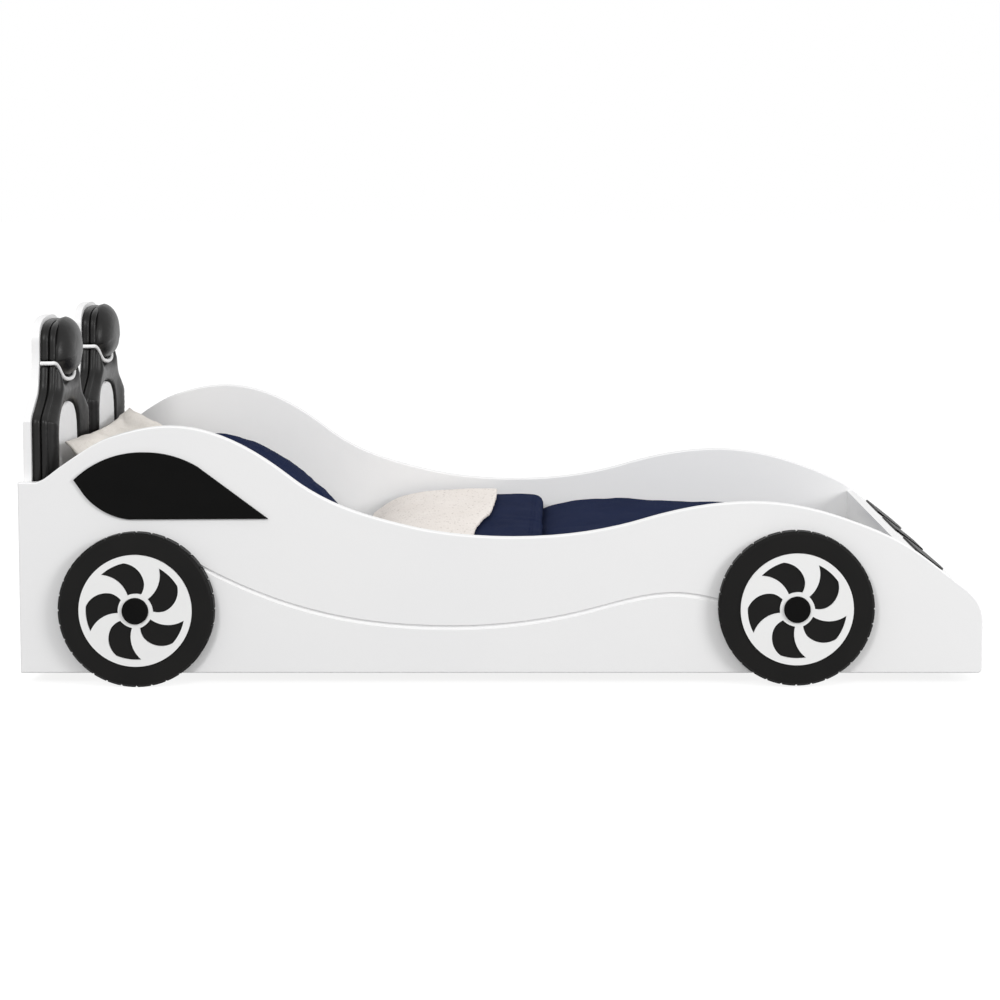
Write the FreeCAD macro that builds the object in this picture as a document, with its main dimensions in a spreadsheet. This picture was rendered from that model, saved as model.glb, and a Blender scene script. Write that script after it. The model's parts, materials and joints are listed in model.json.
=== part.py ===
"""A racing-car bed for one child, about 2.2 m long.

Two wavy side panels stand on a frame of rails, slats and short legs. Between them are a
headboard with two upholstered racing seats, a footboard and a sloped hood with its bumper.
Decorative wheels, windows and lamps are flat pieces fastened to the panels. The bed is made up.

Millimetres, +Z up, nose towards +X, left side towards +Y, origin on the floor under the middle.
"""
import FreeCAD, Part
import math
import os
import re
from types import SimpleNamespace

from FreeCAD import Placement, Rotation, Vector

doc = FreeCAD.newDocument("CarBed")

# ---------------------------------------------------------------- driving sizes
SIZES = {
    # whole bed
    "BedLength": 2230,
    "BedWidth": 980,
    "PanelThickness": 25,
    "PanelLift": 28,
    "PanelEdgeRadius": 3,
    "BoardThickness": 18,
    # side silhouette, each height from the floor
    "DeckLength": 37,
    "DeckHeight": 473,
    "RoofSetback": 350,
    "RoofHeight": 603.5,
    "SillOffset": 30,
    "SillHeight": 345,
    "BonnetSetback": 532,
    "BonnetHeight": 427.5,
    "HoodSetback": 130,
    "HoodHeight": 294,
    "HoodAngle": 37.5,
    "NoseRadius": 95,
    # line routed along the panel
    "GrooveWidth": 12,
    "GrooveDepth": 5,
    "GrooveLowHeight": 134.5,
    "GrooveCrestHeight": 212.7,
    # side window
    "WindowSetback": 130,
    "WindowLength": 447,
    "WindowBottom": 388.5,
    "WindowHeight": 155.5,
    "WindowThickness": 5.5,
    # wheels
    "RearWheelSetback": 273,
    "FrontWheelSetback": 434,
    "RearWheelClearance": 0.5,
    "FrontWheelClearance": 4,
    "TyreRadius": 180,
    "TyreThickness": 30,
    "TyreChamfer": 6,
    "TreadNotchCount": 32,
    "TreadNotchWidth": 5,
    "TreadNotchDepth": 4,
    "RimRadius": 130,
    "RimThickness": 4,
    "RimOpeningCount": 5,
    "RearRimTurn": 132.8,
    "FrontRimTurn": 136.8,
    "HubCapRadius": 30.5,
    "HubCapThickness": 10,
    "HubCapRound": 3,
    "HubClearance": 0.3,
    # ends
    "HeadboardInset": 9,
    "FootboardSetback": 160,
    "HoodInset": 4,
    "LampPlateThickness": 5,
    "LampPlateStart": 25,
    "LampPlateLength": 92,
    "GrilleWidth": 200,
    "LampGap": 95,
    "LampWidth": 210,
    # racing seats on the headboard
    "SeatSideGap": 9,
    "SeatMiddleGap": 60,
    "SeatFootGap": 17,
    "ShoulderHeight": 603,
    "NeckHeight": 737,
    "NeckDip": 46,
    "NeckWidth": 245,
    "HeadrestWidth": 220,
    "HeadrestTop": 836,
    "SeatBoardMargin": 8,
    "SeatBaseThickness": 20,
    "SeatPadThickness": 30,
    "SeatPadInset": 3,
    "SeatEdgeRound": 7,
    "SeatBaseRound": 4,
    "ArchWidth": 226,
    "ArchTop": 635,
    "CentreInsertThickness": 42,
    "PipingWidth": 8,
    "PipingProud": 3,
    "HeadrestPadThickness": 55,
    "HeadrestPadWidth": 206,
    "HeadrestPadRise": 8,
    "SeamGap": 0.4,
    # frame that carries the mattress
    "RailWidth": 40,
    "RailHeight": 40,
    "RailBottom": 40,
    "BeamWidth": 50,
    "SlatCount": 11,
    "SlatWidth": 90,
    "SlatThickness": 15,
    "SlatEndGap": 2,
    "SlatEndMargin": 40,
    "GlideRadius": 18,
    "LegSpacing": 640,
    # corner brackets and their screws
    "BracketLeg": 34,
    "BracketHeight": 70,
    "BracketBottom": 110,
    "BracketThickness": 3,
    "ScrewShankRadius": 2,
    "ScrewHoleRadius": 2.3,
    "ScrewHeadRadius": 4,
    "ScrewHeadHeight": 2.5,
    "ScrewLength": 14,
    "ScrewSpacing": 40,
    # bedding
    "MattressEndGap": 12.5,
    "MattressSideGap": 15,
    "MattressThickness": 150,
    "MattressRound": 30,
    "QuiltInset": 10,
    "QuiltLength": 1202,
    "QuiltFootGap": 70,
    "QuiltThickness": 54,
    "QuiltFoldLength": 445,
    "QuiltFoldThickness": 68,
    "ThrowLength": 315,
    "ThrowInset": 20,
    "ThrowThickness": 14,
    "ThrowOverhang": 24,
    "PillowLength": 740,
    "PillowDepth": 440,
    "PillowThickness": 96,
    "PillowTilt": 45,
    "NavyPillowLength": 700,
    "NavyPillowDepth": 430,
    "NavyPillowThickness": 145,
    "NavyPillowTilt": 28,
    "BeddingGap": 0.3,
}

# places worked out from the sizes
PLACES = {
    "RearEnd": "-BedLength / 2",
    "NoseEnd": "BedLength / 2",
    "OuterHalf": "BedWidth / 2",
    "InnerHalf": "BedWidth / 2 - PanelThickness",
    "RoofX": "-BedLength / 2 + RoofSetback",
    "BonnetX": "BedLength / 2 - BonnetSetback",
    "HoodX": "BedLength / 2 - HoodSetback",
    "RearWheelX": "-BedLength / 2 + RearWheelSetback",
    "FrontWheelX": "BedLength / 2 - FrontWheelSetback",
    "BoardFront": "-BedLength / 2 + HeadboardInset + BoardThickness",
    "FootFace": "BedLength / 2 - FootboardSetback - BoardThickness",
    "FootFront": "BedLength / 2 - FootboardSetback",
    "RailTop": "RailBottom + RailHeight",
    "RailLength": "BedLength - FootboardSetback - HeadboardInset - 2 * BoardThickness",
    "MattressBottom": "RailBottom + RailHeight + SlatThickness",
    "MattressTop": "RailBottom + RailHeight + SlatThickness + MattressThickness",
    "MattressLength": "FootFace - BoardFront - 2 * MattressEndGap",
    "MattressWidth": "2 * (InnerHalf - MattressSideGap)",
    "RearWheelHeight": "TyreRadius + RearWheelClearance",
    "FrontWheelHeight": "TyreRadius + FrontWheelClearance",
    "SeatWidth": "InnerHalf - SeatSideGap - SeatMiddleGap / 2",
    "SeatPitch": "InnerHalf - SeatSideGap + SeatMiddleGap / 2",
    "SeatBottom": "MattressTop + SeatFootGap",
    "HeadboardTop": "HeadrestTop + SeatBoardMargin",
    "HeadrestPadTop": "HeadrestTop + HeadrestPadRise",
}

sheet = doc.addObject("Spreadsheet::Sheet", "Sizes")
for row, (name, value) in enumerate(SIZES.items(), 1):
    sheet.set(f"A{row}", name)
    sheet.set(f"B{row}", str(value))
    sheet.setAlias(f"B{row}", name)
doc.recompute()


def formula(text):
    """A formula for the document, from one that holds only the names of sizes and places."""
    def owner(match):
        name = match.group(0)
        return ("Sizes." if name in SIZES else "Places.") + name
    return re.sub(r"[A-Z]\w+", owner, text)


places = doc.addObject("App::FeaturePython", "Places")
for name, text in PLACES.items():
    places.addProperty("App::PropertyFloat", name)
    places.setExpression(name, formula(text))
doc.recompute()

n = SimpleNamespace(**{name: float(getattr(sheet, name)) for name in SIZES},
                    **{name: float(getattr(places, name)) for name in PLACES})
HOOD_ANGLE = math.radians(n.HoodAngle)
HOOD_SLOPE = math.tan(HOOD_ANGLE)
SIDES = {"right": -1, "left": 1}

nodes = []


def keep(piece, label):
    """Name a finished sub-part and put it on the list of files to write."""
    piece.Label = label
    nodes.append(piece)
    return piece


def bind(piece, formulas):
    for name, text in formulas.items():
        piece.setExpression(name, formula(text))
    return piece


# ---------------------------------------------------------------- general makers
def block(label, start, size):
    """A squared timber, from its lowest corner and its sizes, all of them formulas."""
    box = doc.addObject("Part::Box", label)
    bind(box, dict(zip(("Length", "Width", "Height"), size)))
    bind(box, {f"Placement.Base.{axis}": text for axis, text in zip("xyz", start)})
    return keep(box, label)


def round_group(label, centres, radius, bottom, height):
    """Equal upright round pieces, one at each (x, y) pair of formulas."""
    members = []
    for i, (x, y) in enumerate(centres, 1):
        piece = doc.addObject("Part::Cylinder", f"{label}_{i}")
        bind(piece, {"Radius": radius, "Height": height, "Placement.Base.x": x,
                     "Placement.Base.y": y, "Placement.Base.z": bottom})
        members.append(piece)
    group = doc.addObject("Part::Compound", label)
    group.Links = members
    return keep(group, label)


def outline_sketch(body, plane, edges, name):
    """A sketch of a closed outline on one of the body's own planes."""
    sketch = body.newObject("Sketcher::SketchObject", name)
    support = next(face for face in body.Origin.OriginFeatures if face.Role == plane)
    sketch.AttachmentSupport = [(support, "")]
    sketch.MapMode = "FlatFace"
    sketch.addGeometry(edges, False)
    return sketch


def padded_body(label, plane, edges, thickness, reverse=False):
    """A body whose outline is drawn on a plane and padded to a thickness, a formula."""
    body = doc.addObject("PartDesign::Body", label)
    sketch = outline_sketch(body, plane, edges, f"{label}_outline")
    pad = body.newObject("PartDesign::Pad", f"{label}_pad")
    pad.Profile = sketch
    pad.Reversed = reverse
    bind(pad, {"Length": thickness})
    doc.recompute()
    return body, pad


def round_rims(body, pad, radius):
    """Round the edges of the two broad faces of a padded body."""
    broad = sorted(range(len(pad.Shape.Faces)), key=lambda i: -pad.Shape.Faces[i].Area)[:2]
    fillet = body.newObject("PartDesign::Fillet", f"{body.Name}_round")
    fillet.Base = (pad, [f"Face{i + 1}" for i in broad])
    bind(fillet, {"Radius": radius})
    doc.recompute()
    return fillet


def closed_outline(points):
    """Straight lines and three-point arcs round a closed outline.

    A point is (u, v). A point (u, v, "via") is passed through by an arc.
    """
    corners = list(points) + [points[0]]
    edges = []
    i = 0
    while i < len(corners) - 1:
        start = Vector(*corners[i][:2], 0)
        if len(corners[i + 1]) == 3:
            middle = Vector(*corners[i + 1][:2], 0)
            end = Vector(*corners[i + 2][:2], 0)
            edges.append(Part.Arc(start, middle, end))
            i += 2
        else:
            edges.append(Part.LineSegment(start, Vector(*corners[i + 1][:2], 0)))
            i += 1
    return edges


def wave(stations):
    """Smooth curves through (x, z, slope) stations, one between each two."""
    curves = []
    for (x0, z0, slope0), (x1, z1, slope1) in zip(stations, stations[1:]):
        third = (x1 - x0) / 3
        curve = Part.BezierCurve()
        curve.setPoles([Vector(x0, z0, 0), Vector(x0 + third, z0 + third * slope0, 0),
                        Vector(x1 - third, z1 - third * slope1, 0), Vector(x1, z1, 0)])
        curves.append(curve.toBSpline())
    return curves


def swell(start, end, inner):
    """Stations from one crest to the next, the inner ones as shares of the run and the rise."""
    run = end[0] - start[0]
    rise = end[1] - start[1]
    between = [(start[0] + u * run, start[1] + v * rise, slope * rise / run) for u, v, slope in inner]
    return [start] + between + [end]


def line(start, end):
    return Part.LineSegment(Vector(*start, 0), Vector(*end, 0))


def corner_arc(corner, before, after, radius):
    """Where a corner's arc starts and ends, and the arc, from unit directions in and out."""
    turn = math.acos(before[0] * after[0] + before[1] * after[1])
    reach = radius * math.tan(turn / 2)
    start = Vector(corner[0] - reach * before[0], corner[1] - reach * before[1], 0)
    end = Vector(corner[0] + reach * after[0], corner[1] + reach * after[1], 0)
    inward = Vector(after[0] - before[0], after[1] - before[1], 0).normalize()
    middle = Vector(*corner, 0) + inward * (radius / math.cos(turn / 2) - radius)
    return (start.x, start.y), (end.x, end.y), Part.Arc(start, middle, end)


DOWN_HOOD = (math.cos(HOOD_ANGLE), -math.sin(HOOD_ANGLE))


def hood_height(x, inset=0.0):
    """Height of the hood's slope line at x, set in square to the slope."""
    return n.HoodHeight - (x - n.HoodX) * HOOD_SLOPE - inset / math.cos(HOOD_ANGLE)


# ---------------------------------------------------------------- side panels
BOTTOM_CORNER_RADIUS = 10
DECK_TO_ROOF = ((0.185, 0.264, 1.68), (0.569, 0.808, 0.806))
ROOF_TO_SILL = ((0.346, 0.451, 2.417), (0.673, 0.888, 0.775))
SILL_TO_BONNET = ((0.5425, 0.509, 2.031),)
BONNET_TO_HOOD = ((0.540, 0.307, 1.075),)


def panel_outline():
    deck = (n.RearEnd + n.DeckLength, n.DeckHeight, 0)
    roof = (n.RoofX, n.RoofHeight, 0)
    sill = (n.SillOffset, n.SillHeight, 0)
    bonnet = (n.BonnetX, n.BonnetHeight, 0)
    hood = (n.HoodX, n.HoodHeight, -HOOD_SLOPE)
    stations = (swell(deck, roof, DECK_TO_ROOF) + swell(roof, sill, ROOF_TO_SILL)[1:]
                + swell(sill, bonnet, SILL_TO_BONNET)[1:] + swell(bonnet, hood, BONNET_TO_HOOD)[1:])
    nose_start, nose_end, nose = corner_arc((n.NoseEnd, hood_height(n.NoseEnd)), DOWN_HOOD, (0, -1),
                                            n.NoseRadius)
    toe_start, toe_end, toe = corner_arc((n.NoseEnd, n.PanelLift), (0, -1), (-1, 0), BOTTOM_CORNER_RADIUS)
    return ([line((n.RearEnd, n.PanelLift), (n.RearEnd, n.DeckHeight)),
             line((n.RearEnd, n.DeckHeight), deck[:2])] + wave(stations)
            + [line(hood[:2], nose_start), nose, line(nose_end, toe_start), toe,
               line(toe_end, (n.RearEnd, n.PanelLift))])


GROOVE_REAR = (127, 108, -0.576)
GROOVE_FRONT = (-166, 10, -0.276)
GROOVE_LOW_OFFSET = -140
GROOVE_CREST_SETBACK = 281
GROOVE_FALL = ((0.521, 0.813, 0.897),)
GROOVE_RISE = ((0.51, 0.345, 1.33),)
GROOVE_SECTION = ((0.5, -0.1), (0.27, 0.72), (0, 1), (-0.27, 0.72), (-0.5, -0.1))


def groove_tool(side):
    """The waste of the routed line: a curve carried round a shallow rounded V."""
    start = (n.RearWheelX + GROOVE_REAR[0], n.RearWheelHeight + GROOVE_REAR[1], GROOVE_REAR[2])
    end = (n.FrontWheelX + GROOVE_FRONT[0], n.FrontWheelHeight + GROOVE_FRONT[1], GROOVE_FRONT[2])
    low = (n.SillOffset + GROOVE_LOW_OFFSET, n.GrooveLowHeight, 0)
    crest = (n.FrontWheelX - GROOVE_CREST_SETBACK, n.GrooveCrestHeight, 0)
    stations = swell(start, low, GROOVE_FALL) + swell(low, crest, GROOVE_RISE)[1:] + [end]
    flat = [curve.toShape() for curve in wave(stations)]
    stand = Placement(Vector(), Rotation(Vector(1, 0, 0), 90))
    for edge in flat:
        edge.transformShape(stand.toMatrix())
    shifts = [Vector(0, side * (n.OuterHalf - depth * n.GrooveDepth), height * n.GrooveWidth)
              for height, depth in GROOVE_SECTION]
    faces = []
    for edge in flat:
        moved = [edge.translated(shift) for shift in shifts]
        faces += [Part.makeRuledSurface(a, b) for a, b in zip(moved, moved[1:] + moved[:1])]
    for end_point in (Vector(start[0], 0, start[1]), Vector(end[0], 0, end[1])):
        ring = [end_point + shift for shift in shifts]
        faces.append(Part.Face(Part.makePolygon(ring + ring[:1])))
    shell = Part.makeShell(faces)
    shell.sewShape()
    tool = Part.makeSolid(shell)
    if tool.Volume < 0:
        tool.reverse()
    return tool


def corner_screws(side):
    """(corner, direction into the side panel or board) of each screw of one side's brackets."""
    screws = []
    middle = n.BracketBottom + n.BracketHeight / 2
    offset = n.BracketThickness + (n.BracketLeg - n.BracketThickness) / 2
    for face, inward in ((n.BoardFront, 1), (n.FootFace, -1)):
        for step in (-0.5, 0.5):
            z = middle + step * n.ScrewSpacing
            wall = side * n.InnerHalf
            screws.append((Vector(face + inward * offset, wall, z), Vector(0, side, 0)))
            screws.append((Vector(face, wall - side * offset, z), Vector(-inward, 0, 0)))
    return screws


def screw_holes():
    holes = []
    for side in SIDES.values():
        for foot, into in corner_screws(side):
            holes.append(Part.makeCylinder(n.ScrewHoleRadius, n.ScrewLength, foot, into))
    return Part.makeCompound(holes)


drill = doc.addObject("Part::Feature", "ScrewHoles")
drill.Shape = screw_holes()


def drilled(label, piece, *tools):
    """The piece less the screw holes and any more waste."""
    waste = doc.addObject("Part::Compound", f"{label}_waste")
    waste.Links = [drill, *tools]
    cut = doc.addObject("Part::Cut", label)
    cut.Base = piece
    cut.Tool = waste
    return keep(cut, label)


def side_panel(name, side):
    label = f"side_panel_{name}"
    body, pad = padded_body(f"{label}_board", "XZ_Plane", panel_outline(), "PanelThickness")
    round_rims(body, pad, "PanelEdgeRadius")
    bind(body, {"Placement.Base.y": "-InnerHalf" if side < 0 else "OuterHalf"})
    groove = doc.addObject("Part::Feature", f"{label}_groove")
    groove.Shape = groove_tool(side)
    drilled(label, body, groove)


WINDOW_POINTS = ((0, 0.59), (0.179, 0.913, "via"), (0.365, 1), (0.51, 0.945, "via"), (0.638, 0.788),
                 (1, 0.01), (0.286, 0), (0.154, 0.119, "via"), (0.054, 0.363))


def window_insert(name, side):
    rear = n.RearEnd + n.WindowSetback
    points = [(rear + point[0] * n.WindowLength, n.WindowBottom + point[1] * n.WindowHeight, *point[2:])
              for point in WINDOW_POINTS]
    label = f"window_insert_{name}"
    body, pad = padded_body(label, "XZ_Plane", closed_outline(points), "WindowThickness", side > 0)
    bind(body, {"Placement.Base.y": "-OuterHalf" if side < 0 else "OuterHalf"})
    keep(body, label)


# ---------------------------------------------------------------- wheels
def polar(radius, degrees):
    return (radius * math.cos(math.radians(degrees)), radius * math.sin(math.radians(degrees)))


def circle(radius):
    return [Part.Circle(Vector(), Vector(0, 0, 1), radius)]


def around(body, feature, count, name):
    """Repeat a feature of a wheel round its axle."""
    pattern = body.newObject("PartDesign::PolarPattern", name)
    pattern.Originals = [feature]
    pattern.Axis = (next(a for a in body.Origin.OriginFeatures if a.Role == "Y_Axis"), [""])
    pattern.Angle = 360
    bind(pattern, {"Occurrences": count})
    body.Tip = pattern
    doc.recompute()


def cut_through(body, edges, name):
    """A pocket along the wheel's axle, through the padded disc."""
    before = body.Shape.Volume
    pocket = body.newObject("PartDesign::Pocket", name)
    pocket.Profile = outline_sketch(body, "XZ_Plane", edges, f"{name}_outline")
    pocket.Type = "ThroughAll"
    pocket.Midplane = True
    doc.recompute()
    if not body.Shape.Volume < before:
        raise SystemExit(f"{name} cuts nothing")
    return pocket


def tyre_disc(label):
    body, pad = padded_body(label, "XZ_Plane", circle(n.TyreRadius), "TyreThickness")
    rims = [f"Edge{i + 1}" for i, edge in enumerate(pad.Shape.Edges)
            if edge.BoundBox.YLength < 0.1 and edge.BoundBox.Center.y < -n.TyreThickness / 2]
    chamfer = body.newObject("PartDesign::Chamfer", f"{label}_chamfer")
    chamfer.Base = (pad, rims)
    bind(chamfer, {"Size": "TyreChamfer"})
    doc.recompute()
    half = n.TreadNotchWidth / 2
    notch = closed_outline([(n.TyreRadius + half, -half * 2), (n.TyreRadius - n.TreadNotchDepth, 0),
                            (n.TyreRadius + half, half * 2)])
    around(body, cut_through(body, notch, f"{label}_notch"), "TreadNotchCount", f"{label}_tread")
    return body


# one comma opening of the rim: (clockwise degrees from its tip, share of the rim's radius)
COMMA = ((0, 0.877), (15, 0.877, "via"), (30, 0.877), (47, 0.737, "via"), (61.9, 0.515),
         (64.4, 0.42, "via"), (63.3, 0.315), (40, 0.307, "via"), (17.4, 0.307), (14, 0.579, "via"))


def rim_plate(label, turn):
    body, pad = padded_body(label, "XZ_Plane", circle(n.RimRadius), "RimThickness")
    points = [(*polar(share * n.RimRadius, turn - angle), *via) for angle, share, *via in COMMA]
    comma = closed_outline(points)
    opening = cut_through(body, comma, f"{label}_opening")
    around(body, opening, "RimOpeningCount", f"{label}_openings")
    cut_through(body, circle(n.HubCapRadius + n.HubClearance), f"{label}_eye")
    return body


def hub_cap(label):
    body, pad = padded_body(label, "XZ_Plane", circle(n.HubCapRadius), "HubCapThickness")
    rims = [f"Edge{i + 1}" for i, edge in enumerate(pad.Shape.Edges)
            if edge.BoundBox.YLength < 0.1 and edge.BoundBox.Center.y < -n.HubCapThickness / 2]
    fillet = body.newObject("PartDesign::Fillet", f"{label}_round")
    fillet.Base = (pad, rims)
    bind(fillet, {"Radius": "HubCapRound"})
    return body


def wheel(end, name, side):
    """A tyre disc on the panel, with a rim plate and a hub cap on its face."""
    label = f"{end}_{name}"
    turn = n.RearRimTurn if end == "rear" else n.FrontRimTurn
    stack = ((tyre_disc(f"{label}_tyre_disc"), "OuterHalf"),
             (rim_plate(f"{label}_rim_plate", turn), "(OuterHalf + TyreThickness)"),
             (hub_cap(f"{label}_hub_cap"), "(OuterHalf + TyreThickness)"))
    for body, seat in stack:
        body.Placement = Placement(Vector(), Rotation(Vector(0, 0, 1), 180 if side > 0 else 0))
        bind(body, {"Placement.Base.x": f"{end.title()}WheelX", "Placement.Base.y": f"{side} * {seat}",
                    "Placement.Base.z": f"{end.title()}WheelHeight"})
        keep(body, body.Name)


# ---------------------------------------------------------------- racing seats
SHOULDER_RISE = 97
SHOULDER = ((0.213, 0.1215, 1.608), (0.381, 0.398, 1.608), (0.67, 0.84, 1.071))
NECK_TAPER = -0.25
TEMPLE_RISE = 45
HEADREST_WAIST = 0.33
# sections of a headrest's pad: (share of its thickness, share of its outline)
HEADREST_DOME = ((0, 0.96), (0.08, 1), (0.25, 1), (0.45, 0.93), (0.68, 0.77), (0.88, 0.5), (1, 0.2))
ARCH_RISE = 95
NECK_SEAM_INSET = 16
NECK_SEAM = ((-1, 0, 0), (-0.72, 0.5, 3), (-0.4, 0.93, 0.4), (0, 1, 0))


def quarter(start, end):
    """A full-shouldered quarter curve, upright at its start and level at its end."""
    curve = Part.BezierCurve()
    curve.setPoles([Vector(*start, 0), Vector(start[0], start[1] + 0.8 * (end[1] - start[1]), 0),
                    Vector(start[0] + 0.32 * (end[0] - start[0]), end[1], 0), Vector(*end, 0)])
    return curve.toBSpline()


def seat_side(centre, side, margin):
    """One side of a seat's outline and half its crown, in (y, z), grown by a margin."""
    half = n.SeatWidth / 2 + margin
    neck = n.NeckWidth / 2 + margin
    head = n.HeadrestWidth / 2 + margin
    foot = n.SeatBottom - margin
    shoulder = n.ShoulderHeight + 0.4 * margin
    temple = n.NeckHeight + TEMPLE_RISE
    crown = n.HeadrestTop + margin
    stations = swell((shoulder, half, 0), (shoulder + SHOULDER_RISE, neck, NECK_TAPER), SHOULDER)
    curves = wave(stations + [(temple, head, 0)])
    for curve in curves:
        for i, pole in enumerate(curve.getPoles(), 1):
            curve.setPole(i, Vector(centre + side * pole.y, pole.x, 0))
    return [line((centre, foot), (centre + side * half, foot)),
            line((centre + side * half, foot), (centre + side * half, shoulder)), *curves,
            quarter((centre + side * head, temple), (centre, crown))]


def seat_outline(centre, margin):
    """A whole seat's closed outline in the plane across the bed."""
    return seat_side(centre, 1, margin) + seat_side(centre, -1, margin)


def across(edges, x):
    """A flat face across the bed at x, from an outline drawn in (y, z)."""
    wire = Part.Wire(Part.__sortEdges__([edge.toShape() for edge in edges]))
    face = Part.Face(wire)
    turn = Rotation(Vector(1, 1, 1), 120)
    face.Placement = Placement(Vector(x, 0, 0), turn)
    return face


def slab(edges, x, thickness):
    return across(edges, x).extrude(Vector(thickness, 0, 0))


def neck_line(centre, drop):
    """The seam under the headrest: level at the sides, then one broad dip round the headrest pad."""
    level = n.NeckHeight + drop
    reach = n.SeatWidth / 2 + 2 * n.PipingProud
    half = n.NeckWidth / 2 - NECK_SEAM_INSET
    fall = [(centre + u * half, level - v * n.NeckDip, -slope * n.NeckDip / half)
            for u, v, slope in NECK_SEAM]
    rise = [(2 * centre - x, z, -slope) for x, z, slope in reversed(fall[:-1])]
    ends = (centre - reach, level), (centre + reach, level)
    return [line(ends[0], fall[0][:2]), *wave(fall + rise), line(rise[-1][:2], ends[1])], ends


def below_neck(centre, drop, x, thickness):
    """All that lies under the neck seam, as a cutter."""
    seam, (first, last) = neck_line(centre, drop)
    floor = [line(last, (last[0], 0)), line((last[0], 0), (first[0], 0)), line((first[0], 0), first)]
    return slab(seam + floor, x, thickness)


def arch_outline(centre, margin):
    """The n-shaped opening of a seat, grown by a margin."""
    half = n.ArchWidth / 2 + margin
    top = n.ArchTop + margin
    low = n.SeatBottom - margin
    spring = n.ArchTop - ARCH_RISE
    edges = []
    for side in (1, -1):
        edges += [line((centre, low), (centre + side * half, low)),
                  line((centre + side * half, low), (centre + side * half, spring)),
                  quarter((centre + side * half, spring), (centre, top))]
    return edges


def rounded(solid, face_x, radius):
    """Round the edges of the face that looks down the bed at face_x."""
    edges = [edge for edge in solid.Edges if edge.BoundBox.XLength < 0.01
             and abs(edge.BoundBox.Center.x - face_x) < 0.01]
    return solid.makeFillet(radius, edges)


def shaped(label, shape):
    piece = doc.addObject("Part::Feature", label)
    piece.Shape = shape
    return keep(piece, label)


def headrest_pad(centre, x):
    """A domed egg, cut away under the neck seam to sit on the seat's pad and piping."""
    half = n.HeadrestPadWidth / 2
    seam_low = n.NeckHeight - n.NeckDip + n.PipingWidth / 2 + n.SeamGap
    height = n.HeadrestPadTop - seam_low
    widest = seam_low + HEADREST_WAIST * height
    waist = Vector(x, centre, widest)
    up, down = n.HeadrestPadTop - widest, widest - seam_low
    ring = [(half, 0), (0.72 * half, 0.76 * up), (0, up), (-0.72 * half, 0.76 * up), (-half, 0),
            (-0.7 * half, -0.72 * down), (0, -down), (0.7 * half, -0.72 * down), (half, 0)]
    wires = []
    for rise, share in HEADREST_DOME:
        spots = [waist + Vector(rise * n.HeadrestPadThickness, share * u, share * v) for u, v in ring]
        arcs = [Part.Arc(spots[i], spots[i + 1], spots[i + 2]).toShape() for i in (0, 2, 4, 6)]
        wires.append(Part.Wire(arcs))
    dome = Part.makeLoft(wires, True, False)
    reach = n.SeatPadThickness + n.PipingProud + n.SeamGap
    return dome.cut(below_neck(centre, n.PipingWidth / 2 + n.SeamGap, x, reach))


def racing_seat(name, side):
    """Two stacked layers under the neck seam, two over it, the seam's piping and a white insert."""
    centre = side * n.SeatPitch / 2
    back = n.BoardFront
    thick = n.SeatBaseThickness + n.SeatPadThickness
    seam = n.PipingWidth / 2 + n.SeamGap
    arch = slab(arch_outline(centre, 0), back, thick)
    low_cut = below_neck(centre, -seam, back, thick)
    high_cut = below_neck(centre, seam, back, thick)
    pad_back = back + n.SeatBaseThickness
    base = slab(seat_outline(centre, 0), back, n.SeatBaseThickness).cut(arch)
    base = rounded(base, pad_back, n.SeatBaseRound)
    pad_front = pad_back + n.SeatPadThickness
    pad = slab(seat_outline(centre, -n.SeatPadInset), pad_back, n.SeatPadThickness).cut(arch)
    pad = rounded(pad, pad_front, n.SeatEdgeRound)
    shaped(f"seat_back_base_{name}", base.common(low_cut))
    shaped(f"seat_back_pad_{name}", pad.common(low_cut))
    shaped(f"headrest_base_{name}", base.cut(high_cut))
    shaped(f"headrest_pad_{name}", headrest_pad(centre, pad_back))
    insert = slab(arch_outline(centre, -n.SeamGap), back, n.CentreInsertThickness)
    shaped(f"centre_insert_{name}", rounded(insert, back + n.CentreInsertThickness, n.SeatEdgeRound))
    band = below_neck(centre, n.PipingWidth / 2, back, thick + n.PipingProud)
    band = band.cut(below_neck(centre, -n.PipingWidth / 2, back, thick + n.PipingProud))
    piping = band.common(slab(seat_outline(centre, n.PipingProud), back, thick + n.PipingProud))
    shaped(f"neck_piping_{name}", piping)


# ---------------------------------------------------------------- boards at the two ends
def headboard():
    """A board between the side panels whose top follows the two seats."""
    rear = n.BoardFront - n.BoardThickness
    corner = Vector(rear, -n.InnerHalf, n.PanelLift)
    room = Part.makeBox(n.BoardThickness, 2 * n.InnerHalf, n.HeadboardTop - n.PanelLift, corner)
    board = Part.makeBox(n.BoardThickness, 2 * n.InnerHalf,
                         n.ShoulderHeight + n.SeatBoardMargin - n.PanelLift, corner)
    for side in SIDES.values():
        crown = slab(seat_outline(side * n.SeatPitch / 2, n.SeatBoardMargin), rear, n.BoardThickness)
        board = board.fuse(crown.common(room))
    piece = doc.addObject("Part::Feature", "headboard_panel_board")
    piece.Shape = board.removeSplitter()
    drilled("headboard_panel", piece)


def footboard():
    body, pad = padded_body("footboard_panel_board", "XZ_Plane", closed_outline([
        (n.FootFace, n.PanelLift), (n.FootFront, n.PanelLift),
        (n.FootFront, hood_height(n.FootFront, n.HoodInset)),
        (n.FootFace, hood_height(n.FootFront, n.HoodInset))]),
        "2 * InnerHalf")
    bind(body, {"Placement.Base.y": "InnerHalf"})
    drilled("footboard_panel", body)


def nose_line(inset):
    """Points and arc of the nose, set in by a distance: down the hood, round, then upright."""
    front = n.NoseEnd - inset
    corner = (front, hood_height(front, inset))
    return corner_arc(corner, DOWN_HOOD, (0, -1), n.NoseRadius - inset)


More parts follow.
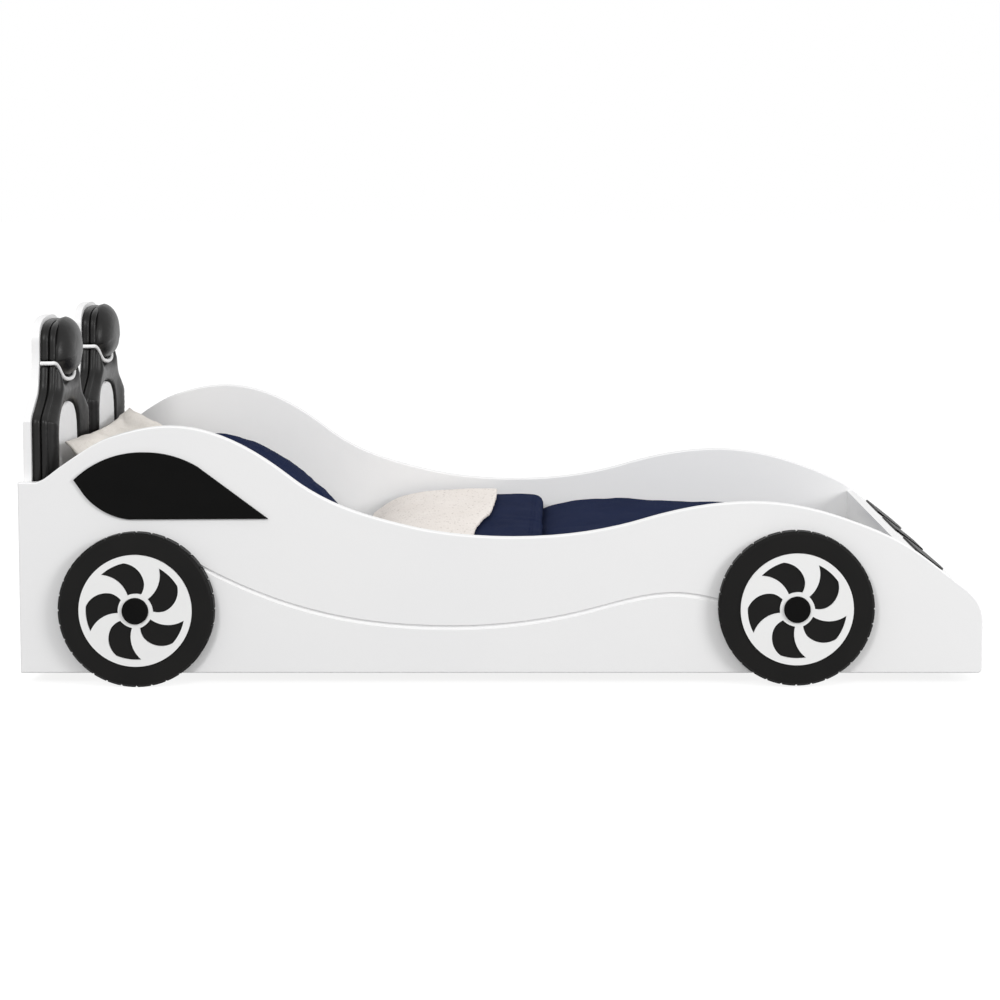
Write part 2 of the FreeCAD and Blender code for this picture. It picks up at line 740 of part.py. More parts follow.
def hood_and_bumper():
    outer, inner = n.HoodInset, n.HoodInset + n.BoardThickness
    top_start, top_end, top_arc = nose_line(outer)
    low_start, low_end, low_arc = nose_line(inner)
    split = (top_start[0] - n.BoardThickness, hood_height(top_start[0] - n.BoardThickness, outer))
    split_low = (split[0] - n.BoardThickness * math.sin(HOOD_ANGLE),
                 split[1] - n.BoardThickness * math.cos(HOOD_ANGLE))
    hood, pad = padded_body("hood_panel", "XZ_Plane", closed_outline([
        (n.FootFront, hood_height(n.FootFront, outer)), split, split_low,
        (n.FootFront, hood_height(n.FootFront, inner))]), "2 * InnerHalf")
    bumper_edges = [line(split, top_start), top_arc, line(top_end, (top_end[0], n.PanelLift)),
                    line((top_end[0], n.PanelLift), (low_end[0], n.PanelLift)),
                    line((low_end[0], n.PanelLift), low_end), low_arc, line(low_start, split_low),
                    line(split_low, split)]
    bumper, pad = padded_body("nose_bumper", "XZ_Plane", bumper_edges, "2 * InnerHalf")
    for body in (hood, bumper):
        bind(body, {"Placement.Base.y": "InnerHalf"})
        keep(body, body.Name)


# outlines of the plates on the hood: (share of the length down the slope, share of the width)
GRILLE_POINTS = ((0, -0.5), (1, -0.36), (1, 0.36), (0, 0.5))
LAMP_POINTS = ((0.04, 0), (0.62, -0.09), (1.04, 0.33, "via"), (0.92, 0.8), (0.66, 0.96, "via"), (0.07, 1))


def lamp_plates():
    """Flat black plates on the hood: a grille in the middle and a swept lamp on each side."""
    inner = n.GrilleWidth / 2 + n.LampGap
    plates = {"grille_plate": (GRILLE_POINTS, 0, n.GrilleWidth),
              "headlight_left": (LAMP_POINTS, inner, n.LampWidth),
              "headlight_right": (LAMP_POINTS, -inner, -n.LampWidth)}
    for label, (points, start, width) in plates.items():
        outline = [(n.LampPlateStart + u * n.LampPlateLength, start + v * width, *via)
                   for u, v, *via in points]
        body, pad = padded_body(label, "XY_Plane", closed_outline(outline), "LampPlateThickness")
        body.Placement = Placement(Vector(n.FootFront, 0, hood_height(n.FootFront, n.HoodInset)),
                                   Rotation(Vector(0, 1, 0), n.HoodAngle))
        keep(body, label)


# ---------------------------------------------------------------- frame under the mattress
def carrying_frame():
    for name, start in (("side_rail_right", "-InnerHalf"), ("side_rail_left", "InnerHalf - RailWidth")):
        block(name, ("BoardFront", start, "RailBottom"), ("RailLength", "RailWidth", "RailHeight"))
    for name, start in (("head_rail", "BoardFront"), ("foot_rail", "FootFace - RailWidth")):
        block(name, (start, "-InnerHalf + RailWidth", "RailBottom"),
              ("RailWidth", "2 * (InnerHalf - RailWidth)", "RailHeight"))
    block("centre_beam", ("BoardFront + RailWidth", "-BeamWidth / 2", "RailBottom"),
          ("RailLength - 2 * RailWidth", "BeamWidth", "RailHeight"))
    corners = [(x, f"{side} * (InnerHalf - RailWidth / 2)") for x in ("RearWheelX", "FrontWheelX")
               for side in (-1, 1)]
    round_group("foot_glides", corners, "GlideRadius", "0", "RailBottom")
    middles = [(f"(BoardFront + FootFace) / 2 {sign} LegSpacing / 2", "0") for sign in "-+"]
    round_group("centre_legs", middles, "GlideRadius", "0", "RailBottom")
    count = int(n.SlatCount)
    for i in range(count):
        pitch = "((RailLength - 2 * SlatEndMargin - SlatWidth) / (SlatCount - 1))"
        block(f"slat_{i + 1:02d}", (f"BoardFront + SlatEndMargin + {i} * {pitch}",
                                    "-InnerHalf + SlatEndGap", "RailTop"),
              ("SlatWidth", "2 * (InnerHalf - SlatEndGap)", "SlatThickness"))


def corner_brackets():
    """Angle brackets that tie the two boards to the side panels, and the screws in them."""
    brackets, screws = [], []
    for side in SIDES.values():
        for face, inward in ((n.BoardFront, 1), (n.FootFace, -1)):
            x0, x1 = sorted((face, face + inward * n.BracketLeg))
            y0, y1 = sorted((side * n.InnerHalf, side * (n.InnerHalf - n.BracketThickness)))
            along = Part.makeBox(x1 - x0, y1 - y0, n.BracketHeight, Vector(x0, y0, n.BracketBottom))
            x0, x1 = sorted((face, face + inward * n.BracketThickness))
            y0, y1 = sorted((side * n.InnerHalf, side * (n.InnerHalf - n.BracketLeg)))
            over = Part.makeBox(x1 - x0, y1 - y0, n.BracketHeight, Vector(x0, y0, n.BracketBottom))
            brackets.append(along.fuse(over).removeSplitter())
        for foot, into in corner_screws(side):
            face = foot - into * n.BracketThickness
            hole = Part.makeCylinder(n.ScrewHoleRadius, 3 * n.BracketThickness,
                                     face - into * n.BracketThickness, into)
            brackets = [bracket.cut(hole) for bracket in brackets]
            head = Part.makeCylinder(n.ScrewHeadRadius, n.ScrewHeadHeight,
                                     face - into * n.ScrewHeadHeight, into)
            shank = Part.makeCylinder(n.ScrewShankRadius, n.ScrewLength, face, into)
            screws.append(head.fuse(shank))
    shaped("corner_brackets", Part.makeCompound(brackets))
    shaped("bracket_screws", Part.makeCompound(screws))


# ---------------------------------------------------------------- bedding
def mattress():
    x = (n.BoardFront + n.FootFace - n.MattressLength) / 2
    box = Part.makeBox(n.MattressLength, n.MattressWidth, n.MattressThickness,
                       Vector(x, -n.MattressWidth / 2, n.MattressBottom))
    upright = [edge for edge in box.Edges if edge.BoundBox.ZLength > n.MattressThickness / 2]
    box = box.makeFillet(n.MattressRound, upright)
    rims = [edge for edge in box.Edges if edge.BoundBox.ZLength < 0.01]
    shaped("mattress", box.makeFillet(n.MattressRound / 4, rims))


def lens(y, chord, thickness):
    """A pillow's section: two shallow arcs between blunt ends, in its own flat frame."""
    half, blunt = chord / 2, thickness * 0.12
    spots = [Vector(-half, y, -blunt), Vector(-half - blunt, y, 0), Vector(-half, y, blunt),
             Vector(0, y, thickness / 2), Vector(half, y, blunt), Vector(half + blunt, y, 0),
             Vector(half, y, -blunt), Vector(0, y, -thickness / 2), Vector(-half, y, -blunt)]
    return Part.Wire([Part.Arc(spots[i], spots[i + 1], spots[i + 2]).toShape() for i in (0, 2, 4, 6)])


# along a pillow: (share of its half length, share of its depth, share of its thickness)
PILLOW_STATIONS = ((1, 0.97, 0.14), (0.9, 0.95, 0.48), (0.62, 0.93, 0.86), (0, 0.92, 1))


def pillow(size, tilt):
    """A crowned pillow whose sides draw in between its corners, leaning back from level."""
    length, depth, thickness = size
    rows = list(PILLOW_STATIONS) + [(-share, *rest) for share, *rest in reversed(PILLOW_STATIONS[:-1])]
    wires = [lens(share * length / 2, chord * depth, swelling * thickness)
             for share, chord, swelling in rows]
    solid = Part.makeLoft(wires, True, False)
    solid.rotate(Vector(), Vector(0, 1, 0), tilt)
    return solid


def laid(solid, carrier):
    """Set a pillow down on the mattress and push it back until it meets what carries it."""
    box = solid.optimalBoundingBox()
    solid.translate(Vector(0, 0, n.MattressTop + n.BeddingGap - box.ZMin))
    solid.translate(Vector(carrier.BoundBox.XMax - box.XMin, 0, 0))
    gap = solid.distToShape(carrier)[0]
    while gap > 2 * n.BeddingGap:
        solid.translate(Vector(n.BeddingGap - gap, 0, 0))
        gap = solid.distToShape(carrier)[0]
    return solid


def crowned(x, width, low, high):
    """A section of a spread cover: flat below, rounded at its two edges, crowned above."""
    half, edge = width / 2, (high - low) * 0.45
    spots = [Vector(x, -half + edge, low), Vector(x, half - edge, low), Vector(x, half, low + edge),
             Vector(x, half - edge, high - edge * 0.35), Vector(x, 0, high),
             Vector(x, -half + edge, high - edge * 0.35), Vector(x, -half, low + edge)]
    return Part.Wire([Part.makeLine(spots[0], spots[1]), Part.Arc(spots[1], spots[2], spots[3]).toShape(),
                      Part.Arc(spots[3], spots[4], spots[5]).toShape(),
                      Part.Arc(spots[5], spots[6], spots[0]).toShape()])


def cover(label, width, stations):
    """A cover spread on the bed, from (x, underside, top) stations."""
    shaped(label, Part.makeLoft([crowned(x, width, low, top) for x, low, top in stations], True, True))


# the quilt's folded end: (distance from it, share of the fold's thickness)
QUILT_ROLL = ((0, 0.27), (22, 0.7), (70, 0.97))
# past the fold's hem: (distance from the hem, how far the top lies under the single quilt's crown)
QUILT_SPREAD = ((6, 20), (80, 10), (190, 0), (480, 8))
# back from the foot: (distance from it, how far the top lies under the single quilt's crown)
QUILT_FOOT = ((60, 14), (0, 40))
HEM_DROP = ((30, 0), (8, 6))


def quilt_and_throw():
    """A quilt folded back on itself towards the pillows, with a knitted throw laid over the fold."""
    low = n.MattressTop + n.BeddingGap
    foot = n.FootFace - n.QuiltFootGap
    head = foot - n.QuiltLength
    fold = head + n.QuiltFoldLength
    spread = low + n.QuiltThickness
    folded = low + n.QuiltFoldThickness
    roll = [(head + run, low + share * n.QuiltFoldThickness) for run, share in QUILT_ROLL]
    quilt = roll + [(fold - run, folded - drop) for run, drop in HEM_DROP]
    quilt += [(fold + run, spread - drop) for run, drop in QUILT_SPREAD]
    quilt += [(foot - run, spread - drop) for run, drop in QUILT_FOOT]
    cover("navy_quilt", n.MattressWidth - 2 * n.QuiltInset, [(x, low, top) for x, top in quilt])
    over = n.ThrowThickness + n.BeddingGap
    last = head + n.ThrowLength
    throw = [(head - n.ThrowOverhang, low, low + 8), (head - n.BeddingGap, low, roll[0][1] + over)]
    throw += [(x, top + n.BeddingGap, top + over) for x, top in roll]
    throw += [(last - 20, folded + n.BeddingGap, folded + over),
              (last, folded + n.BeddingGap, folded + n.BeddingGap + 5)]
    cover("beige_throw", n.MattressWidth - 2 * n.ThrowInset, throw)


def pillows():
    """One pillow leans on the seats and stands on the mattress; the other lies against it."""
    seat_front = n.BoardFront + n.SeatBaseThickness + n.SeatPadThickness
    seats = Part.makeBox(n.BoardThickness, n.BedWidth, n.HeadrestTop,
                         Vector(seat_front - n.BoardThickness, -n.OuterHalf, 0))
    linen = laid(pillow((n.PillowLength, n.PillowDepth, n.PillowThickness), n.PillowTilt), seats)
    shaped("linen_pillow", linen)
    navy = pillow((n.NavyPillowLength, n.NavyPillowDepth, n.NavyPillowThickness), n.NavyPillowTilt)
    shaped("navy_pillow", laid(navy, linen))


def bedding():
    mattress()
    quilt_and_throw()
    pillows()


# ---------------------------------------------------------------- the bed
for name, side in SIDES.items():
    side_panel(name, side)
    window_insert(name, side)
    for end in ("rear", "front"):
        wheel(end, name, side)
    racing_seat(name, side)
headboard()
footboard()
hood_and_bumper()
lamp_plates()
carrying_frame()
corner_brackets()
bedding()
doc.recompute()

for thing in doc.Objects:
    if {"Invalid", "Error"} & set(thing.State):
        raise SystemExit(f"{thing.Label} failed: {thing.State}")
for node in nodes:
    if node.Shape.isNull() or not node.Shape.isValid():
        raise SystemExit(f"{node.Label} has no valid shape")

os.makedirs("parts", exist_ok=True)
for node in nodes:
    node.Shape.exportStep(f"parts/{node.Label}.step")
print(f"{len(nodes)} nodes written")
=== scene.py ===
"""A child's bed shaped like a racing car, with padded seats at its head and made-up bedding.

Lengths are metres; +X runs to the nose, +Y to the bed's left side, +Z up.
"""
import json
import math

import bmesh
import bpy
import numpy as np
from mathutils import Matrix, Vector, noise
from mathutils.bvhtree import BVHTree
from mathutils.geometry import delaunay_2d_cdt


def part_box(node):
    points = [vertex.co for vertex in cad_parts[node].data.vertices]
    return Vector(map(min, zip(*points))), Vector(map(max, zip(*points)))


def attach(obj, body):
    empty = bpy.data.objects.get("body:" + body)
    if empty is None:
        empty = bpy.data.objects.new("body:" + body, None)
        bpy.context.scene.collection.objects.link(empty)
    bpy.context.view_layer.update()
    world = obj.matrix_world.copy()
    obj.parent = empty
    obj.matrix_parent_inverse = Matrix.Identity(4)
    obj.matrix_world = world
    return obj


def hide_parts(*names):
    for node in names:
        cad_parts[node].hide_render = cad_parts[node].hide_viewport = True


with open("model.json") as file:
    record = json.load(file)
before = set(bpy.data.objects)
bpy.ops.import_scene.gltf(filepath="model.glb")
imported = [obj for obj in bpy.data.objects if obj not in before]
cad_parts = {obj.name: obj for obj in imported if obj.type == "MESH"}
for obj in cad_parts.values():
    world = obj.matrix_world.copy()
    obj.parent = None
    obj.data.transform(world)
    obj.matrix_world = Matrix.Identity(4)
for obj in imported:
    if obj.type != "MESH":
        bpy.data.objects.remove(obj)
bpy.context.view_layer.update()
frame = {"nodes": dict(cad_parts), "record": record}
nodes = frame["nodes"]
MM = 0.001
SIDES = {"right": -1, "left": 1}


# ---------------------------------------------------------------- camera, lamps and floor
CAMERA_PLACE = (0.0585, -5.5126, 1.2055)
CAMERA_PITCH = 4.58
CAMERA_LENS = 79.14
CAMERA_SHIFT = (-0.0266, -0.16)
# each soft box: where it stands, the point it faces, its side in metres, its watts
SOFT_BOXES = {
    "key_lamp": ((-4.2, -9.2, 6.2), (-0.2, 0, 0.3), 2.4, 375),
    "fill_lamp": ((8.4, -6.4, 3.6), (0.2, 0, 0.3), 3.4, 490),
}


def set_camera():
    """The photograph's camera, at the bed's right side, looking a little down."""
    lens = bpy.data.cameras.new("camera")
    lens.lens = CAMERA_LENS
    lens.sensor_width = 36
    lens.shift_x, lens.shift_y = CAMERA_SHIFT
    camera = bpy.data.objects.new("camera", lens)
    camera.location = CAMERA_PLACE
    camera.rotation_euler = (math.radians(90 - CAMERA_PITCH), 0, 0)
    bpy.context.collection.objects.link(camera)
    bpy.context.scene.camera = camera


def soft_box(name, place, aim, size, watts):
    """A square studio lamp at a place, turned to face a point."""
    light = bpy.data.lights.new(name, "AREA")
    light.shape = "SQUARE"
    light.size = size
    light.energy = watts
    lamp = bpy.data.objects.new(name, light)
    lamp.location = place
    lamp.rotation_euler = (Vector(aim) - Vector(place)).to_track_quat("-Z", "Y").to_euler()
    bpy.context.collection.objects.link(lamp)


# ---------------------------------------------------------------- shader arithmetic
class Value:
    """A shader socket that takes part in plain arithmetic; each operator adds its Math node."""

    def __init__(self, finish, socket):
        self.finish = finish
        self.socket = socket

    def maths(self, operation, first, second):
        return self.finish.node("ShaderNodeMath", {"operation": operation}, {0: first, 1: second})

    def __add__(self, other):
        return self.maths("ADD", self, other)

    def __sub__(self, other):
        return self.maths("SUBTRACT", self, other)

    def __rsub__(self, other):
        return self.maths("SUBTRACT", other, self)

    def __mul__(self, other):
        return self.maths("MULTIPLY", self, other)

    __radd__ = __add__
    __rmul__ = __mul__

    def clamped(self):
        return self.finish.node("ShaderNodeClamp", {}, {"Value": self})

    def between(self, low, high):
        """0 below low and 1 above high, smoothly."""
        return self.finish.node("ShaderNodeMapRange", {"interpolation_type": "SMOOTHSTEP"},
                                {"Value": self, "From Min": low, "From Max": high})


class Finish:
    """A procedural material: one shader, and helpers that grow the nodes that feed it."""

    def __init__(self, name, **constants):
        self.material = bpy.data.materials.new(name)
        self.material.use_nodes = True
        self.tree = self.material.node_tree
        self.tree.nodes.clear()
        self.shader = self.tree.nodes.new("ShaderNodeBsdfPrincipled")
        self.end = self.tree.nodes.new("ShaderNodeOutputMaterial")
        self.tree.links.new(self.shader.outputs[0], self.end.inputs[0])
        for label, setting in constants.items():
            socket = label.replace("_", " ").title().replace("Ior", "IOR")
            self.shader.inputs[socket].default_value = setting

    def node(self, kind, settings, sockets, output=0):
        """One node: its settings first, then the value or link of each socket."""
        made = self.tree.nodes.new(kind)
        for label, setting in settings.items():
            setattr(made, label, setting)
        for label, value in sockets.items():
            self.feed(made.inputs[label], value)
        return Value(self, made.outputs[output])

    def feed(self, socket, value):
        """Link a value to a socket, or set a plain number or colour on it."""
        if isinstance(value, Value):
            self.tree.links.new(value.socket, socket)
        else:
            socket.default_value = value

    def wear(self, label, value):
        """Feed one of the shader's own sockets with something that changes over the surface."""
        self.feed(self.shader.inputs[label], value)

    def place(self, stretch=(1, 1, 1), chart=None):
        """Object coordinates, or a piece's own chart, stretched."""
        if chart:
            spot = self.node("ShaderNodeUVMap", {"uv_map": chart}, {})
        else:
            spot = self.node("ShaderNodeTexCoord", {}, {}, "Object")
        return self.node("ShaderNodeMapping", {}, {"Vector": spot, "Scale": stretch})

    def cloud(self, spot, scale, detail=2.0, rough=0.5):
        """Noise of about 0 to 1; scale is in cells a metre."""
        return self.node("ShaderNodeTexNoise", {}, {"Vector": spot, "Scale": scale, "Detail": detail,
                                                    "Roughness": rough})

    def cells(self, spot, scale, feature="F1", jitter=1.0):
        """Distance to the middle of the nearest cell."""
        return self.node("ShaderNodeTexVoronoi", {"feature": feature},
                         {"Vector": spot, "Scale": scale, "Randomness": jitter}, "Distance")

    def bands(self, spot, scale, direction, waver):
        """Soft stripes across a direction, made wavy by a little noise."""
        return self.node("ShaderNodeTexWave", {"wave_type": "BANDS", "bands_direction": direction},
                         {"Vector": spot, "Scale": scale, "Distortion": waver, "Detail": 1.0}, "Fac")

    def blend(self, share, first, second):
        """A colour mixed from two by a share."""
        made = self.tree.nodes.new("ShaderNodeMix")
        made.data_type = "RGBA"
        self.feed(made.inputs["Factor"], share)
        for socket, colour in ((made.inputs[6], first), (made.inputs[7], second)):
            self.feed(socket, colour if isinstance(colour, Value) else (*colour, 1))
        return Value(self, made.outputs[2])

    def relief(self, height, depth, under=None):
        """Raise a height of 0 to 1 by a depth in metres; under is the relief that lies below it."""
        sockets = {"Height": height, "Distance": depth, "Strength": 1.0}
        if under is not None:
            sockets["Normal"] = under
        return self.node("ShaderNodeBump", {}, sockets, "Normal")


WHITE = (1, 1, 1, 1)
SEEN_BY = ("Is Camera Ray", "Is Glossy Ray", "Is Transmission Ray")
FLOOR_HALF = 40
FLOOR_GLOW = 0.86
FLOOR_REFLECTS = 0.25
BACKGROUND = 1.0
AMBIENT = 0.82


def set_floor():
    """A pale floor that glows only where the camera or a reflection sees it, and keeps the bed's shadow."""
    finish = Finish("pale_floor", base_color=(FLOOR_REFLECTS,) * 3 + (1,), roughness=1, specular_ior_level=0)
    camera, glossy, transmission = [finish.node("ShaderNodeLightPath", {}, {}, ray) for ray in SEEN_BY]
    seen = (camera + glossy + transmission).clamped()
    glow = finish.node("ShaderNodeEmission", {}, {"Color": WHITE, "Strength": seen * FLOOR_GLOW})
    both = finish.node("ShaderNodeAddShader", {}, {0: Value(finish, finish.shader.outputs[0]), 1: glow})
    finish.feed(finish.end.inputs[0], both)
    corners = [(x * FLOOR_HALF, y * FLOOR_HALF, 0) for x, y in ((-1, -1), (1, -1), (1, 1), (-1, 1))]
    ground = bpy.data.meshes.new("floor")
    ground.from_pydata(corners, [], [(0, 1, 2, 3)])
    ground.materials.append(finish.material)
    floor = bpy.data.objects.new("floor", ground)
    bpy.context.collection.objects.link(floor)


def set_world():
    """A white surround: plain white where it is seen, the ambient level as a light."""
    world = bpy.data.worlds.new("studio")
    bpy.context.scene.world = world
    world.use_nodes = True
    tree = world.node_tree
    tree.nodes.clear()
    rays = tree.nodes.new("ShaderNodeLightPath")
    seen = rays.outputs[SEEN_BY[0]]
    for label in SEEN_BY[1:]:
        join = tree.nodes.new("ShaderNodeMath")
        join.operation = "MAXIMUM"
        tree.links.new(seen, join.inputs[0])
        tree.links.new(rays.outputs[label], join.inputs[1])
        seen = join.outputs[0]
    level = tree.nodes.new("ShaderNodeMapRange")
    level.inputs["To Min"].default_value = AMBIENT
    level.inputs["To Max"].default_value = BACKGROUND
    tree.links.new(seen, level.inputs["Value"])
    light = tree.nodes.new("ShaderNodeBackground")
    tree.links.new(level.outputs[0], light.inputs["Strength"])
    light.inputs["Color"].default_value = WHITE
    end = tree.nodes.new("ShaderNodeOutputWorld")
    tree.links.new(light.outputs[0], end.inputs[0])


bpy.context.scene.view_settings.view_transform = "Standard"
set_camera()
set_world()
set_floor()
for name, lamp_settings in SOFT_BOXES.items():
    soft_box(name, *lamp_settings)


# ---------------------------------------------------------------- finishes
def white_lacquer():
    """Satin lacquer on board: a faint roller texture, slightly uneven gloss."""
    finish = Finish("white_lacquer", roughness=0.4, specular_ior_level=0.35, coat_roughness=0.2)
    spot = finish.place()
    tint = finish.cloud(spot, 3.2, 2)
    finish.wear("Base Color", finish.blend(tint, (0.80, 0.80, 0.805), (0.825, 0.822, 0.82)))
    peel = finish.cloud(spot, 260, 1)
    finish.wear("Roughness", finish.cloud(spot, 9, 3) * 0.14 + 0.3 + peel * 0.05)
    finish.wear("Coat Weight", finish.cloud(spot, 6, 2) * 0.15 + 0.1)
    finish.wear("Normal", finish.relief(peel, 0.00006))
    return finish


def black_gloss(name):
    """Gloss black sheet with a little dust haze."""
    finish = Finish(name, specular_ior_level=0.03)
    spot = finish.place()
    haze = finish.cloud(spot, 14, 4)
    dust = finish.cloud(spot, 420, 1).between(0.66, 0.8)
    dull = haze * 0.6 + dust * 0.25
    finish.wear("Base Color", finish.blend(dull, (0.0045, 0.0045, 0.0045), (0.0085, 0.0083, 0.008)))
    finish.wear("Roughness", haze * 0.14 + 0.3)
    finish.wear("Normal", finish.relief(finish.cloud(spot, 30, 1), 0.00015))
    return finish


def tyre_black():
    """Satin black paint with a fine grain and a patchy gloss."""
    finish = Finish("tyre_black", specular_ior_level=0.1)
    spot = finish.place()
    grain = finish.cloud(spot, 340, 3, 0.6)
    patch = finish.cloud(spot, 11, 3)
    finish.wear("Base Color", finish.blend(patch, (0.006, 0.006, 0.006), (0.0105, 0.01, 0.0095)))
    finish.wear("Roughness", patch * 0.2 + 0.36)
    finish.wear("Normal", finish.relief(grain, 0.00012))
    return finish


def rim_white():
    """Smooth white plastic sheet, faintly clouded."""
    finish = Finish("rim_white", specular_ior_level=0.4)
    spot = finish.place()
    clouding = finish.cloud(spot, 12, 3)
    finish.wear("Base Color", finish.blend(clouding, (0.82, 0.82, 0.815), (0.7954, 0.7954, 0.79055)))
    finish.wear("Roughness", finish.cloud(spot, 30, 3) * 0.15 + 0.24)
    finish.wear("Normal", finish.relief(finish.cloud(spot, 300, 1), 0.00004))
    return finish


def leatherette(name, dark, pale, shine, mirror):
    """Soft grained leatherette: fine pebbles, creases between them, duller in the hollows."""
    finish = Finish(name, specular_ior_level=mirror)
    spot = finish.place()
    pebbles = finish.cells(spot, 620, "SMOOTH_F1", 0.9)
    pores = finish.cloud(spot, 1500, 2)
    drift = finish.cloud(spot, 7, 3)
    finish.wear("Base Color", finish.blend(drift * 0.7 + pebbles * 0.3, dark, pale))
    finish.wear("Roughness", drift * 0.14 + shine + pebbles * 0.08)
    soft = finish.relief(finish.cloud(spot, 24, 2), 0.0016)
    finish.wear("Normal", finish.relief(pebbles * 0.8 + pores * 0.2, 0.00022, soft))
    return finish


# a Wave texture of scale 1 repeats after this many metres
WAVE_TURN = math.tau / 20


def woven(name, dark, pale, thread, slub, sheen, uneven=0.35, fold=0.0015, chart="weave"):
    """Plain weave on a cloth's own chart, or on object coordinates where it has none.

    thread is the weave's pitch in metres, slub its thick places a metre, uneven how far they tint the cloth,
    and fold the depth of the soft folds.
    """
    finish = Finish(name, specular_ior_level=0.03, sheen_weight=sheen, sheen_roughness=0.5)
    spot = finish.place(chart=chart)
    warp = finish.bands(spot, WAVE_TURN / thread, "X", 0.4)
    weft = finish.bands(spot, WAVE_TURN / thread, "Y", 0.4)
    streak_x = finish.cloud(finish.place((slub, slub * 9, 1), chart=chart), 1, 3)
    streak_y = finish.cloud(finish.place((slub * 9, slub, 1), chart=chart), 1, 3)
    drift = finish.cloud(spot, 5, 3)
    tone = (streak_x + streak_y) * uneven + drift * (1 - uneven)
    finish.wear("Base Color", finish.blend(tone.between(0.2, 0.85), dark, pale))
    finish.wear("Roughness", streak_x * 0.12 + 0.77)
    soft = finish.relief(finish.cloud(spot, 17, 3), fold)
    weave = warp * 0.5 + weft * 0.5 + (streak_x + streak_y) * 0.4
    finish.wear("Normal", finish.relief(weave, thread * 0.35, soft))
    return finish


def knit():
    """Pale beige knit: rows of small loops, with tiny dark flecks."""
    finish = Finish("beige_knit", specular_ior_level=0.1, sheen_weight=0.25, sheen_roughness=0.6)
    spot = finish.place(chart="weave")
    rows = finish.bands(spot, 55, "Y", 0.6)
    loops = finish.bands(spot, 40, "DIAGONAL", 0.6)
    yarn = finish.cells(finish.place((260, 180, 1), chart="weave"), 1, "F1", 0.45)
    flecks = 1 - finish.cells(finish.place((85, 62, 1), chart="weave"), 1, "F1", 1.0).between(0.14, 0.26)
    drift = finish.cloud(spot, 9, 3)
    ground = finish.blend(drift * 0.6 + yarn * 0.4, (0.67, 0.605, 0.55), (0.86, 0.81, 0.765))
    finish.wear("Base Color", finish.blend(flecks * 0.55, ground, (0.30, 0.25, 0.20)))
    finish.wear("Roughness", yarn * 0.1 + 0.82)
    finish.wear("Normal", finish.relief(rows * 0.3 + loops * 0.2 + (1 - yarn) * 0.8, 0.0011))
    return finish


def pine():
    """Bare pine: growth rings stretched along the board, fine pores, a few darker knots."""
    finish = Finish("timber", specular_ior_level=0.25)
    spot = finish.place((0.6, 9, 9))
    rings = finish.bands(spot, 1.6, "Y", 5.0)
    pores = finish.cloud(finish.place((12, 700, 700)), 1, 3)
    knots = 1 - finish.cells(finish.place((2.2, 8, 8)), 1, "F1", 1.0).between(0.03, 0.16)
    ground = finish.blend(rings * 0.7 + pores * 0.3, (0.46, 0.29, 0.15), (0.66, 0.48, 0.29))
    finish.wear("Base Color", finish.blend(knots * 0.75, ground, (0.22, 0.11, 0.05)))
    finish.wear("Roughness", rings * 0.12 + 0.52)
    finish.wear("Normal", finish.relief(pores * 0.6 + rings * 0.4, 0.0002))
    return finish


def zinc():
    """Zinc plate with a fine spangle."""
    finish = Finish("zinc_plate", metallic=1.0)
    spot = finish.place()
    spangle = finish.cells(spot, 130, "F1", 1.0)
    finish.wear("Base Color", finish.blend(spangle, (0.52, 0.53, 0.55), (0.68, 0.68, 0.69)))
    finish.wear("Roughness", spangle * 0.15 + 0.26)
    finish.wear("Normal", finish.relief(finish.cloud(spot, 500, 2), 0.00005))
    return finish


def moulded():
    """Matt black plastic with a fine spark-eroded grain."""
    finish = Finish("glide_plastic", specular_ior_level=0.35)
    spot = finish.place()
    patch = finish.cloud(spot, 60, 3)
    finish.wear("Base Color", finish.blend(patch, (0.03, 0.03, 0.03), (0.05, 0.05, 0.05)))
    finish.wear("Roughness", finish.cloud(spot, 200, 2) * 0.2 + 0.5)
    finish.wear("Normal", finish.relief(finish.cloud(spot, 900, 2), 0.0001))
    return finish


finishes = {
    "white_lacquer": white_lacquer(),
    "black_gloss": black_gloss("black_gloss"),
    "tyre_black": tyre_black(),
    "rim_white": rim_white(),
    "hub_black": black_gloss("hub_black"),
    "black_leatherette": leatherette("black_leatherette", (0.006, 0.0058, 0.006), (0.012, 0.0115, 0.011),
                                     shine=0.24, mirror=0.24),
    "white_piping": leatherette("white_piping", (0.82, 0.82, 0.82), (0.87, 0.87, 0.87),
                                shine=0.36, mirror=0.26),
    "white_insert": woven("white_insert", (0.83, 0.83, 0.835), (0.88, 0.88, 0.885),
                          thread=0.0016, slub=30, sheen=0.1, uneven=0.3, chart=None),
    "mattress_cotton": woven("mattress_cotton", (0.76, 0.76, 0.75), (0.82, 0.82, 0.81),
                             thread=0.0014, slub=30, sheen=0.1, uneven=0.3, chart=None),
    "linen": woven("linen", (0.55, 0.49, 0.42), (0.85, 0.805, 0.75),
                   thread=0.0012, slub=34, sheen=0.12, uneven=0.55, fold=0.005),
    "navy_cotton": woven("navy_cotton", (0.006, 0.0105, 0.034), (0.012, 0.019, 0.055),
                         thread=0.0008, slub=40, sheen=0.0),
    "beige_knit": knit(),
    "timber": pine(),
    "glide_plastic": moulded(),
    "steel": zinc(),
}

kept_finish = {sub["node"]: sub["material_slot"] for sub in frame["record"]["subparts"]}
for name, node in nodes.items():
    node.data.materials.clear()
    node.data.materials.append(finishes[kept_finish[name]].material)


# ---------------------------------------------------------------- lines and outlines, in millimetres
CURVE_STEPS = 12
QUARTER_UPRIGHT = 0.8
QUARTER_LEVEL = 0.32


